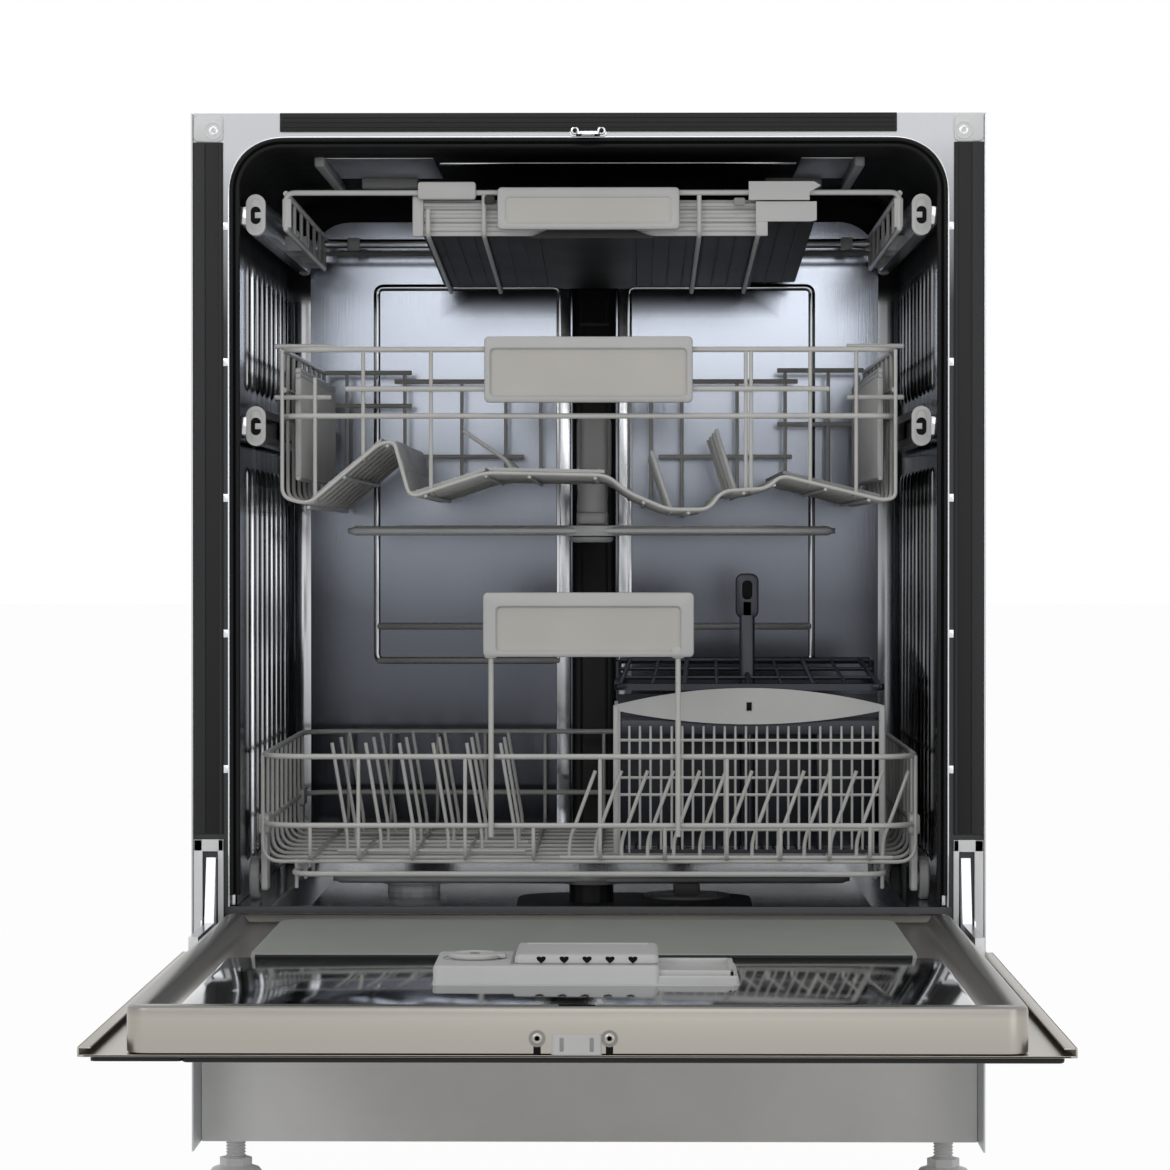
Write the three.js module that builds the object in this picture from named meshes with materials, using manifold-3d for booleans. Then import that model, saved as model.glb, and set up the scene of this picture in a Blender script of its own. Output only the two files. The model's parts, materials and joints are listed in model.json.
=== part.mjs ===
// Dishwasher of 60 cm width with its door folded down, in millimetres, +Z up.
// Inside the cabinet group, X is the width, Y runs from the front plane (0) to the back, Z from the floor.
// The door is modelled open, so it reaches out towards -Y.

import * as THREE from 'three';
import { mergeVertices } from 'three/addons/utils/BufferGeometryUtils.js';
import Module from 'manifold-3d';

const wasm = await Module();
wasm.setup();

// Driving dimensions

const cabinetWidth = 598;
const cabinetHeight = 815;
const bodyDepth = 520;
const doorReach = 621;
const frameBorder = 28;
const openingBottom = 217;
const frameHead = 18;
const openingRadius = 40;
const gap = 0.3;
const sheet = 1.2;
const overrun = 5;
const roundSegments = 16;
const cornerSegments = 3;

const halfWidth = cabinetWidth / 2;
const openingHalf = halfWidth - frameBorder;
const openingTop = cabinetHeight - frameHead;
const sheetedHalf = halfWidth - sheet - gap;

// Door hinge: pin axis, seen along X

const hingeY = -15;
const hingeZ = 200;
const hingePinRadius = 4;
const hingePinClearance = 0.3;

// Base

const footHeight = 32;
const footRadius = 20;
const footPad = 8;
const footStem = 5;
const footEngaged = 58;
const footInset = 24;
const footBoss = 12;
const trayFront = 55;
const trayTop = 190;
const trayWall = 3;
const trayRibInset = [55, 36];
const trayRibTop = 198.2;
const springPostY = 300;
const springPostLength = 6;
const springPostReach = 18;
const springPostHeight = 16;
const portRadius = 13;
const portHeight = 90;
const portShares = [-0.706, -0.538];
const cordPortWidth = 34;
const cordPortHeight = 22;
const cordPortShare = 0.672;

// Cabinet front

const frameInset = 3;
const frameThickness = 2;
const frameBottom = 193;
const frameReturn = 2.5;
const frameReturnDepth = 6.7;
const trimDepth = 2.7;
const stripTopInset = 39;
const trimMargin = 4;
const stripTopHeight = 14;
const stripInner = openingHalf + trimMargin;
const stripBottom = 272;
const stripTop = openingTop - trimMargin;
const stripBand = 9;
const stripStep = 1.2;
const capInset = 1;
const capTop = cabinetHeight - capInset;
const screwRadius = 4;
const screwHead = 1.2;
const leverSlotMargin = 8;
const leverSlotWidth = 12;
const leverSlotInner = openingHalf + leverSlotMargin;
const leverSlotOuter = leverSlotInner + leverSlotWidth;
const leverSlotTop = 259;
const coverTop = stripBottom - trimMargin;
const bracketInset = 2.5;
const bracketInner = leverSlotOuter - bracketInset;
const bracketThickness = 1.6;
const bracketReach = 7;
const bracketBottom = 192;
const bracketTop = 209;
const sealWidth = 8;
const sealFront = 0.6;
const sealLift = 9;
const sealBottom = openingBottom + sealLift;
const strikerHalf = 14;
const strikerHeight = 9;
const strikerScrewShare = 0.6;
const tongueHalf = 9;
const tongueLift = 0.5;
const tongueBottom = openingTop + tongueLift;
const tongueThickness = 4;
const tongueReach = 20;
const tongueWindow = 5;
const tongueScrewX = 10;

// Tub

const tubMargin = 5;
const tubHalf = openingHalf - tubMargin;
const tubHead = 7;
const tubTop = openingTop - tubHead;
const tubRadius = 35;
const tubFront = 12;
const tubRear = 32.5;
const tubBack = bodyDepth - tubRear;
const tubWall = 1.2;
const trackHeight = 15;
const embossHeight = 2;
const embossWidth = 6;
const embossSpan = 160;
const embossInner = 30;
const embossHead = 75;
const embossTop = tubTop - embossHead;
const embossBottom = 389;
const embossLine = 419;
const floorLevel = 200;
const floorSheet = 1.5;
const ledgeWidth = 26;
const ledgeInner = tubHalf - ledgeWidth;
const ledgeSlope = 15;
const ledgeLevel = openingBottom - gap;
const floorLip = 2;

// Water path

const armSetback = 4.75;
const armAxisY = (tubFront + tubBack) / 2 - armSetback;
const columnHalf = 19;
const columnDepth = 17;
const columnHead = 76;
const columnTop = tubTop - columnHead;
const columnFrontShare = 0.7;
const dockHalf = 15;
const dockReach = 5;
const dockBottom = 546;
const dockTop = 603;
const sumpWidth = 190;
const sumpX = 35;
const sumpLength = 156;
const sumpRadius = 40;
const sumpBottom = 112;
const sumpWall = 3;
const sumpRim = 6;
const hubRadius = 18;
const hubTop = 223;
const filterX = 78;
const filterSetback = 45;
const filterY = armAxisY + filterSetback;
const filterRadius = 36;
const filterBottom = 130;
const filterTop = 203;
const filterGrip = 5;
const filterGripHeight = 10;
const pumpRadius = 42;
const pumpLength = 130;
const pumpX = -70;
const pumpOutlet = 14;
const pumpMotorShare = 0.7;
const ductRise = 21;
const softenerInset = 13.5;
const softenerRear = 202;
const softenerLow = [-sheetedHalf + softenerInset, bodyDepth - softenerRear];
const softenerSize = [150, 150, 140];
const saltInset = 16;
const saltRadius = 27;
const saltX = softenerLow[0] + softenerSize[0] - saltInset;
const saltY = softenerLow[1] + saltRadius;
const saltNeckTop = 206;
const saltCapHeight = 7;
const saltRib = 5;
const armThickness = 9;
const armLedgeRoom = 30;
const armWallRoom = 27.75;
const lowerArmRadius = Math.min(ledgeInner - armLedgeRoom, (tubBack - tubFront) / 2 - armWallRoom);
const upperArmLevel = 497;
const upperArmShort = 12;
const upperArmRadius = lowerArmRadius - upperArmShort;
const armHalfWidth = 26;
const armTipHalf = 15;
const armBore = 9;
const jetCount = 5;
const jetLength = 14;
const jetWidth = 3;
const jetSpanShares = [0.25, 0.9];
const feedHalf = 12;
const feedThickness = 10;
const feedRise = 16;

// Door

const skinLevel = 183.5;
const skinBack = 45;
const skinLip = 5;
const skinLipBack = -60;
const linerRim = 214;
const linerBack = -11;
const linerBorder = 14;
const linerRecess = 6;
const linerSheet = 1.2;
const linerSetback = 1;
const linerCorner = 12;
const dispenserX = 3.5;
const dispenserWidth = 195;
const dispenserSetback = 249;
const dispenserBack = -doorReach + dispenserSetback;
const dispenserLength = 89;
const dispenserFlange = 4;
const dispenserTop = 222;
const dispenserDepth = 190;
const dispenserTrackTop = 215;
const lidX = 4;
const lidWidth = 92;
const lidLength = 77;
const lidThickness = 6.7;
const lidBevel = 5;
const cupWidth = 80;
const cupLength = 60;
const cupBottom = 196;
const lidMarks = 5;
const lidMarkPitch = 15;
const lidMarkSize = 5;
const rinseX = -69;
const rinseRadius = 17;
const rinseThickness = 3.5;
const rinseTab = 7;
const latchHalf = 15.5;
const latchTop = 197.6;
const latchLength = 24;
const latchSlotHalf = 11;
const latchSlotInset = 12;
const latchSlotNear = doorReach - latchSlotInset;
const latchSlotEnd = 2.6;
const latchSlotFar = doorReach - latchSlotEnd;
const latchSlotBottom = 190;
const hookHalf = 3.5;
const hookLength = 10;
const hookBottom = 187;
const hookHeight = 6;
const keyholeShares = [-1.53, 1.265];
const keyholeZ = 195.3;
const leverPlay = 1;
const leverInner = leverSlotInner + leverPlay;
const leverThickness = 7;
const leverFoot = 115;
const leverHeight = 14;
const leverLegWidth = 15;
const leverLegHeight = 55;
const springRadius = 5.5;
const springInset = 7;
const fasciaSide = 7;
const fasciaHalf = halfWidth - fasciaSide;
const fasciaInset = 4;
const fasciaFar = doorReach - fasciaInset;
const fasciaWidth = 70;
const fasciaThickness = 3.4;
const buttonInset = 42;
const buttonX = -fasciaHalf + buttonInset;
const buttonRadius = 9;
const buttonHeight = 3.4;
const buttonTravel = 1.5;

// Upper basket

const wire = 2;
const fineWire = 1.5;
const wireBend = 8;
const basketFront = 30;
const basketRear = 45.5;
const basketBack = tubBack - basketRear;
const upperSide = 33;
const upperHalf = tubHalf - upperSide;
const upperRimLevel = 638.5;
const upperMidLevel = 608;
const upperLowLevel = 588;
const upperCrossCount = 5;
const upperFloorLevel = 517;
const upperWaveHeight = 52;
const upperHubShare = 0.5;
const upperWaveShares = [[-1, 0.173], [-0.914, 0.077], [-0.682, 0.962], [-0.635, 1], [-0.584, 0.173],
  [-0.335, 0.538], [0.06, 0.5], [0.129, 0.25], [0.258, 0], [0.395, 0], [0.433, 0.269], [0.584, 0.308],
  [0.627, 0.5], [0.961, 0.135], [1, 0.173]];
const upperLongShares = [[-0.914, 0.077], [-0.657, 0.981], [-0.335, 0.538], [0.021, upperHubShare],
  [0.326, 0], [0.605, 0.404], [0.914, 0.187]];
const sideTabLength = 60;
const sideTabHeight = 10;
const sideTabSetback = [202, 57];
const railOffset = 20;
const railInner = tubHalf - railOffset;
const railThickness = 11;
const railFront = 14;
const railRear = 19.5;
const railBack = tubBack - railRear;
const railWall = 2.4;
const upperRailBottom = 565;
const upperRailHeight = 30;
const trayRailDrop = 66;
const trayRailBottom = tubTop - trayRailDrop;
const trayRailHeight = 31;
const handleThickness = 7;
const handlePanel = 3;
const handleBorder = 9;
const handleRadius = 8;
const upperHandleHalf = 79;
const upperHandleBottom = 598;
const upperHandleHeight = 50;
const shelfInset = 9;
const shelfX = upperHalf - shelfInset;
const shelfThickness = 2.4;
const shelfTop = 624;
const shelfDrop = 84;
const shelfBracket = 3;
const shelfStart = 30;
const shelfFront = basketFront + shelfStart;
const shelfEnd = 22;
const shelfBack = basketBack - shelfEnd;
const shelfRibCount = 7;
const shelfRibDepth = 1.6;

// Cutlery tray

const trayWireDrop = 33;
const trayWireLevel = tubTop - trayWireDrop;
const traySide = 34;
const trayHalf = tubHalf - traySide;
const trayRear = 62.5;
const trayBack = tubBack - trayRear;
const trayUnderDrop = 82;
const trayUnderLevel = tubTop - trayUnderDrop;
const trayLegDrop = 60;
const trayLegLevel = tubTop - trayLegDrop;
const trayLongShares = [-0.5216, -0.3405, 0.362, 0.5474];
const trayCrossCount = 3;
const insertHalf = 124;
const insertExtension = 40;
const insertFront = 44;
const insertRear = 25;
const insertBack = trayBack - insertRear;
const insertFloor = 2.4;
const insertHeight = 26;
const insertRibCount = 13;
const insertRib = 1.6;
const trayHandleHalf = 69;
const trayHandleDrop = 61;
const trayHandleBottom = tubTop - trayHandleDrop;
const trayHandleHeight = 32;

// Lower basket

const lowerSide = 16;
const lowerHalf = tubHalf - lowerSide;
const lowerRimLevel = 329;
const lowerMidLevel = 276.5;
const lowerFloorLevel = 249;
const lowerFrameLevel = 239;
const lowerFrameInset = 24;
const lowerFrameHalf = lowerHalf - lowerFrameInset;
const lowerLongShares = [-0.7, -0.376, 0.036, 0.42, 0.732];
const lowerCrossCount = 5;
const tineHeight = 88;
const tineLean = 12;
const leftTineShares = [-0.76, -0.23];
const leftTineCount = 6;
const leftRowShares = [0.218, 0.449, 0.68];
const rearTineShares = [0.24, 0.8];
const rearTineCount = 6;
const rearRowShares = [0.655, 0.85];
const frontTineHeight = 70;
const frontTineLean = 20;
const frontTineShares = [-0.06, 0.9];
const frontTineCount = 13;
const frontRowShares = [0.061];
const tineRowOverhang = 8;
const handleRodShares = [-0.925, 0.85];
const handleRodTail = 8;
const lowerHandleHalf = 80;
const lowerHandleBottom = 405;
const lowerHandleHeight = 49;
const wheelRadius = 16;
const wheelWidth = 7.7;
const wheelInset = [45, 37];
const wheelY = [basketFront + wheelInset[0], basketBack - wheelInset[1]];
const wheelOffset = 3.9;
const wheelSeat = lowerHalf + wheelOffset;
const wheelBore = 4.3;
const axleRadius = 4;
const axleHeadRadius = 6;
const cutleryX = 18;
const cutlerySetback = 52;
const cutlerySide = 20;
const cutleryLength = 146;
const cutleryHeight = 146;
const cutleryWall = 2;
const cutleryCells = [4, 2];
const cutleryLid = 3;
const cutleryWindowRows = 3;
const crescentHeight = 28;
const crescentThickness = 3;
const crescentTop = 377;
const postHalf = 5.5;
const postTop = 468;
const postGrip = 20;
const postGripHeight = 22;

// Derived places

const cabinetShift = (doorReach - bodyDepth) / 2;
const frameBack = frameInset + frameThickness;
const doorLayerZ = skinLevel + sheet + gap;
const linerFloor = linerRim - linerRecess;
const stripTopHalf = openingHalf - stripTopInset;
const cutleryLow = [cutleryX, basketFront + cutlerySetback];
const cutlerySize = [lowerHalf - cutlerySide - cutleryX, cutleryLength, cutleryHeight];
const trackReach = tubHalf - railInner - railThickness - gap;
const insertBottom = trayUnderLevel + fineWire + gap;
const cutleryBottom = lowerFloorLevel + fineWire + gap;

// Materials

const finish = (color, roughness, metalness) =>
  new THREE.MeshStandardMaterial({ color, roughness, metalness });

const steel = finish(0xb9bcbd, 0.28, 0.95);
const dullSteel = finish(0x9a9c9c, 0.45, 0.9);
const wireCoat = finish(0xc4c6c8, 0.4, 0.3);
const lightGrey = finish(0xc9cbcc, 0.5, 0);
const white = finish(0xe6e7e8, 0.5, 0);
const midGrey = finish(0x85878a, 0.55, 0);
const darkGrey = finish(0x3a3b3d, 0.6, 0);
const darkBlue = finish(0x2b3242, 0.5, 0);
const blackRubber = finish(0x161617, 0.8, 0);

// Solids: geometry in, closed solid out

function solidOf(geometry) {
  geometry.deleteAttribute('normal');
  geometry.deleteAttribute('uv');
  const merged = mergeVertices(geometry);
  const vertProperties = new Float32Array(merged.attributes.position.array);
  const triVerts = new Uint32Array(merged.index.array);
  return new wasm.Manifold(new wasm.Mesh({ numProp: 3, vertProperties, triVerts }));
}

function geometryOf(solid) {
  const { vertProperties, triVerts } = solid.getMesh();
  const geometry = new THREE.BufferGeometry();
  geometry.setAttribute('position', new THREE.BufferAttribute(vertProperties, 3));
  geometry.setIndex(new THREE.BufferAttribute(triVerts, 1));
  geometry.computeVertexNormals();
  return geometry;
}

const join = (solids) => solids.reduce((whole, piece) => whole.add(piece));
const cut = (solid, cutters) => cutters.reduce((whole, cutter) => whole.subtract(cutter), solid);

// A box between two values on each axis, in either order
function block(x0, x1, y0, y1, z0, z1) {
  const geometry = new THREE.BoxGeometry(Math.abs(x1 - x0), Math.abs(y1 - y0), Math.abs(z1 - z0));
  geometry.translate((x0 + x1) / 2, (y0 + y1) / 2, (z0 + z1) / 2);
  return solidOf(geometry);
}

function extruded(shape, from, to, basis) {
  const depth = Math.abs(to - from);
  const geometry = new THREE.ExtrudeGeometry(shape, {
    depth,
    bevelEnabled: false,
    curveSegments: cornerSegments,
  });
  geometry.translate(0, 0, Math.min(from, to));
  geometry.applyMatrix4(basis);
  return solidOf(geometry);
}

const axisX = new THREE.Vector3(1, 0, 0);
const axisY = new THREE.Vector3(0, 1, 0);
const axisZ = new THREE.Vector3(0, 0, 1);
const basisX = new THREE.Matrix4().makeBasis(axisY, axisZ, axisX);
const basisY = new THREE.Matrix4().makeBasis(axisX, axisZ, axisY.clone().negate());
const basisZ = new THREE.Matrix4();

// Shapes are drawn in the (y, z), (x, z) or (x, y) plane and run along the remaining axis
const alongX = (shape, x0, x1) => extruded(shape, x0, x1, basisX);
const alongY = (shape, y0, y1) => extruded(shape, -y0, -y1, basisY);
const alongZ = (shape, z0, z1) => extruded(shape, z0, z1, basisZ);

function outline(points) {
  return new THREE.Shape(points.map(([a, b]) => new THREE.Vector2(a, b)));
}

function roundedRect(a0, a1, b0, b1, radius) {
  const shape = new THREE.Shape();
  shape.moveTo(a0 + radius, b0);
  shape.lineTo(a1 - radius, b0);
  shape.absarc(a1 - radius, b0 + radius, radius, -Math.PI / 2, 0);
  shape.lineTo(a1, b1 - radius);
  shape.absarc(a1 - radius, b1 - radius, radius, 0, Math.PI / 2);
  shape.lineTo(a0 + radius, b1);
  shape.absarc(a0 + radius, b1 - radius, radius, Math.PI / 2, Math.PI);
  shape.lineTo(a0, b0 + radius);
  shape.absarc(a0 + radius, b0 + radius, radius, Math.PI, Math.PI * 1.5);
  return shape;
}

// A round bar along an axis, from one value to another
function bar(axis, a, b, from, to, radius, segments = roundSegments) {
  const geometry = new THREE.CylinderGeometry(radius, radius, Math.abs(to - from), segments);
  const middle = (from + to) / 2;
  if (axis === axisX) geometry.rotateZ(Math.PI / 2).translate(middle, a, b);
  if (axis === axisY) geometry.translate(a, middle, b);
  if (axis === axisZ) geometry.rotateX(Math.PI / 2).translate(a, b, middle);
  return solidOf(geometry);
}

// The radius of a faceted bore in which a round piece of the given radius can turn
const turningRoom = (radius) => radius / Math.cos(Math.PI / roundSegments);

function turnedGeometry(profile) {
  const points = profile.map(([r, z]) => new THREE.Vector2(r, z));
  const geometry = new THREE.LatheGeometry(points, roundSegments);
  geometry.rotateX(Math.PI / 2);
  return geometry;
}

const turned = (profile) => solidOf(turnedGeometry(profile));

// The outline of a wire of square section along an open polyline, with mitred bends
function ribbon(points, halfWire) {
  const path = points.map(([a, b]) => new THREE.Vector2(a, b));
  const last = path.length - 1;
  const normals = [];
  for (let i = 0; i < last; i += 1) {
    const step = path[i + 1].clone().sub(path[i]).normalize();
    normals.push(new THREE.Vector2(-step.y, step.x));
  }
  const left = [];
  const right = [];
  path.forEach((point, i) => {
    const before = normals[Math.max(i - 1, 0)];
    const after = normals[Math.min(i, last - 1)];
    const mitre = before.clone().add(after).normalize();
    mitre.multiplyScalar(halfWire / mitre.dot(after));
    left.push(point.clone().add(mitre));
    right.push(point.clone().sub(mitre));
  });
  return new THREE.Shape([...left, ...right.reverse()]);
}

function rectangleLoop(a0, a1, b0, b1, radius, halfWire) {
  const outer = roundedRect(a0 - halfWire, a1 + halfWire, b0 - halfWire, b1 + halfWire, radius);
  outer.holes.push(roundedRect(a0 + halfWire, a1 - halfWire, b0 + halfWire, b1 - halfWire,
    Math.max(radius - 2 * halfWire, halfWire)));
  return outer;
}

function spread(count, from, to) {
  return Array.from({ length: count }, (_, i) => from + ((to - from) * i) / (count - 1));
}

function part(name, solid, material) {
  const mesh = new THREE.Mesh(geometryOf(solid), material);
  mesh.name = name;
  return mesh;
}

const sides = [['left', -1], ['right', 1]];

// Feet: a pad on a stem that runs in a boss of the base tray

function foot() {
  const stemTop = footHeight + footEngaged;
  return turned([[0, 0], [footRadius, 0], [footRadius, footPad], [footStem, footPad + footStem],
    [footStem, stemTop], [0, stemTop]]);
}

const footPlaces = [
  ['foot_front_left', -1, trayFront + footInset],
  ['foot_front_right', 1, trayFront + footInset],
  ['foot_rear_left', -1, bodyDepth - footInset],
  ['foot_rear_right', 1, bodyDepth - footInset],
];
const footX = sheetedHalf - footInset;

// Base tray: an open box that holds the sump, the pump and the softener

function baseTray() {
  const outer = block(-sheetedHalf, sheetedHalf, trayFront, bodyDepth, footHeight, trayTop);
  const inner = block(-sheetedHalf + trayWall, sheetedHalf - trayWall, trayFront + trayWall,
    bodyDepth - trayWall, footHeight + trayWall, trayTop + overrun);
  const ribY = [trayFront + trayRibInset[0], bodyDepth - trayRibInset[1]];
  const ribs = ribY.map((y) => block(-sheetedHalf + trayWall / 2, sheetedHalf - trayWall / 2,
    y, y + trayWall, footHeight, trayRibTop));
  const ribWindows = ribY.map((y) => block(-sheetedHalf + 2 * footBoss, sheetedHalf - 2 * footBoss,
    y - overrun, y + trayWall + overrun, footHeight + 2 * footBoss, trayTop - 2 * footBoss));
  const bossTop = footHeight + footEngaged + trayWall;
  const bosses = footPlaces.map(([, side, y]) => bar(axisZ, side * footX, y, footHeight, bossTop, footBoss));
  const posts = sides.map(([, side]) => block(side * (sheetedHalf - springPostReach), side * sheetedHalf,
    springPostY, springPostY + springPostLength, trayTop - springPostHeight, trayTop + springPostHeight));
  const bores = footPlaces.map(([, side, y]) => bar(axisZ, side * footX, y, footHeight - overrun,
    bossTop - trayWall + gap, footStem + gap));
  const ports = portShares.map((share) => bar(axisY, share * sheetedHalf, portHeight,
    bodyDepth - trayWall - overrun, bodyDepth + overrun, portRadius));
  const cordPortX = cordPortShare * sheetedHalf;
  const cordPort = block(cordPortX - cordPortWidth / 2, cordPortX + cordPortWidth / 2,
    bodyDepth - trayWall - overrun, bodyDepth + overrun,
    portHeight - cordPortHeight / 2, portHeight + cordPortHeight / 2);
  const shell = cut(outer, [inner]);
  const ribbed = join(ribs.map((rib, i) => cut(rib, [ribWindows[i]])));
  return cut(join([shell, ribbed, ...bosses, ...posts]), [...bores, ...ports, cordPort]);
}

// Side panels: sheets with a notch at the kick recess, where the door skin swings in

function sidePanel(side) {
  const profile = outline([[0, frameBottom], [0, cabinetHeight], [bodyDepth, cabinetHeight],
    [bodyDepth, footHeight], [trayFront, footHeight], [trayFront, frameBottom]]);
  return alongX(profile, side * (halfWidth - sheet), side * halfWidth);
}

// Rear cover: one folded sheet over the back and the top

function rearCover() {
  const top = cabinetHeight - sheet - gap;
  const profile = outline([[bodyDepth, frameBottom], [bodyDepth, top + sheet],
    [frameBack + gap, top + sheet], [frameBack + gap, top], [bodyDepth - sheet, top],
    [bodyDepth - sheet, frameBottom]]);
  return alongX(profile, -sheetedHalf, sheetedHalf);
}

// Front frame: a plate round the opening, with a return flange and the two hinge pins

function archShape(half, bottom, top, radius) {
  const shape = new THREE.Shape();
  shape.moveTo(half, bottom);
  shape.lineTo(half, top - radius);
  shape.absarc(half - radius, top - radius, radius, 0, Math.PI / 2);
  shape.lineTo(-half + radius, top);
  shape.absarc(-half + radius, top - radius, radius, Math.PI / 2, Math.PI);
  shape.lineTo(-half, bottom);
  return shape;
}

function openingShape(margin) {
  return archShape(openingHalf + margin, openingBottom - margin, openingTop + margin,
    openingRadius + margin);
}

function hingeBracket(side) {
  const outer = side * (bracketInner + bracketThickness);
  const plate = block(side * bracketInner, outer, hingeY - bracketReach, frameBack, bracketBottom,
    bracketTop);
  const foot = block(side * leverSlotInner, side * (leverSlotOuter + overrun), frameInset, frameBack,
    leverSlotTop, leverSlotTop + overrun);
  const heel = block(side * bracketInner, side * (leverSlotOuter + overrun), frameInset, frameBack,
    bracketBottom, bracketTop);
  const pin = bar(axisX, hingeY, hingeZ, side * (leverInner - gap), outer, hingePinRadius);
  return join([plate, foot, heel, pin]);
}

function frontFrame() {
  const plate = block(-sheetedHalf, sheetedHalf, frameInset, frameBack, frameBottom, cabinetHeight);
  const flange = alongY(openingShape(frameReturn), frameInset + frameThickness / 2,
    frameBack + frameReturnDepth);
  const opening = alongY(openingShape(0), frameInset - overrun, frameBack + frameReturnDepth + overrun);
  const slots = sides.map(([, side]) => block(side * leverSlotInner, side * leverSlotOuter,
    frameInset - overrun, frameBack + overrun, frameBottom - overrun, leverSlotTop));
  const brackets = sides.map(([, side]) => hingeBracket(side));
  return join([cut(plate.add(flange), [opening, ...slots]), ...brackets]);
}

// Trims that lie in front of the frame

function topStrip() {
  const strip = block(-stripTopHalf, stripTopHalf, frameInset - trimDepth, frameInset - gap,
    cabinetHeight - stripTopHeight, cabinetHeight);
  const strikerNotch = block(-strikerHalf - gap, strikerHalf + gap, -overrun, frameInset + overrun,
    openingTop, openingTop + strikerHeight + gap);
  return cut(strip, [strikerNotch]);
}

function sideStrip(side) {
  const front = frameInset - trimDepth;
  const body = block(side * stripInner, side * sheetedHalf, front, frameInset - gap, stripBottom,
    stripTop);
  const step = block(side * (stripInner - overrun), side * (sheetedHalf - stripBand), front - overrun,
    front + stripStep, stripBottom - overrun, stripTop + overrun);
  return cut(body, [step]);
}

function cornerCap(side) {
  const front = frameInset - trimDepth;
  const shape = roundedRect(stripInner, sheetedHalf, stripTop + gap, capTop, 2 * screwHead);
  const plate = alongY(shape, front + screwHead, frameInset - gap);
  const middle = (stripInner + sheetedHalf) / 2;
  const head = bar(axisY, middle, (stripTop + capTop) / 2, front, frameInset - gap, screwRadius);
  const whole = plate.add(head);
  if (side > 0) return whole;
  const turn = new THREE.Matrix4().makeTranslation(-2 * middle, 0, 0);
  return solidOf(geometryOf(whole).applyMatrix4(turn));
}

function hingeCover(side) {
  const front = frameInset - trimDepth;
  const plate = block(side * stripInner, side * sheetedHalf, front, frameInset - gap, frameBottom,
    coverTop);
  const slot = block(side * leverSlotInner, side * leverSlotOuter, front - overrun, frameInset + overrun,
    frameBottom - overrun, leverSlotTop);
  return cut(plate, [slot]);
}

function doorSeal() {
  const back = frameBack + frameReturnDepth;
  const arch = (inset, bottom, from, to) => alongY(
    archShape(openingHalf - inset, bottom, openingTop - inset, openingRadius - inset), from, to);
  const body = cut(arch(gap, sealBottom, sealFront, back),
    [arch(gap + sealWidth, sealBottom - overrun, sealFront - overrun, back + overrun)]);
  const grooveBack = sealFront + sealWidth / 4;
  const groove = cut(arch(gap + sealWidth / 3, sealBottom - overrun, sealFront - overrun, grooveBack),
    [arch(gap + (sealWidth * 2) / 3, sealBottom - 2 * overrun, sealFront - 2 * overrun, back)]);
  return cut(body, [groove]);
}

// Striker: a plate with two screws on the frame and a tongue that the door latch catches

function latchStriker() {
  const front = frameInset - trimDepth;
  const plate = block(-strikerHalf, strikerHalf, front + screwHead, frameInset - gap, openingTop,
    openingTop + strikerHeight);
  const tongue = block(-tongueHalf, tongueHalf, -tongueReach, frameInset - gap, tongueBottom,
    tongueBottom + tongueThickness / 2);
  const window = block(-tongueWindow, tongueWindow, -tongueReach + tongueThickness,
    -tongueThickness * 2, tongueBottom - overrun, tongueBottom + overrun);
  const screwZ = openingTop + strikerHeight * strikerScrewShare;
  const heads = sides.map(([, side]) => bar(axisY, side * tongueScrewX, screwZ, front, frameInset - gap,
    tongueThickness / 2));
  return cut(join([plate, tongue, ...heads]), [window]);
}

// Tub: side walls and ceiling in one folded sheet, with rail tracks, and the embossed back wall

function tubShell() {
  const bottom = ledgeLevel + 2 * gap;
  const outer = archShape(tubHalf + tubWall, bottom, tubTop + tubWall, tubRadius + tubWall);
  const inner = archShape(tubHalf, bottom, tubTop, tubRadius);
  const sleeve = alongY(outer, tubFront, tubBack + tubWall).subtract(
    alongY(inner, tubFront - overrun, tubBack).add(block(-tubHalf, tubHalf, tubFront - overrun, tubBack,
      bottom - overrun, bottom + overrun)));
  const flangeMargin = frameReturn;
  const flangeCut = alongY(inner, tubFront - overrun, tubBack).add(block(-tubHalf, tubHalf,
    tubFront - overrun, tubBack, bottom - overrun, bottom + overrun));
  const flange = alongY(openingShape(flangeMargin), tubFront, tubFront + tubWall)
    .subtract(flangeCut)
    .subtract(block(-halfWidth, halfWidth, 0, tubBack, 0, bottom));
  const tracks = sides.flatMap(([, side]) => [upperRailBottom, trayRailBottom].map((level) =>
    block(side * (tubHalf - trackReach), side * (tubHalf + tubWall / 2), tubFront + tubWall, railBack,
      level + trackHeight / 2, level + trackHeight * 1.5)));
  const frames = sides.flatMap(([, side]) => {
    const inside = side * embossInner;
    const outside = side * (embossInner + embossSpan);
    const box = [Math.min(inside, outside), Math.max(inside, outside)];
    const ring = rectangleLoop(box[0], box[1], embossBottom, embossTop, 2 * embossWidth, embossWidth / 2);
    return [
      alongY(ring, tubBack - embossHeight, tubBack + tubWall / 2),
      block(inside, outside, tubBack - embossHeight, tubBack + tubWall / 2,
        embossLine - embossWidth / 2, embossLine + embossWidth / 2),
    ];
  });
  return join([sleeve, flange, ...tracks, ...frames]);
}

// Tub floor: a pan with wheel ledges, a front lip and holes for the sump and the salt neck

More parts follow.
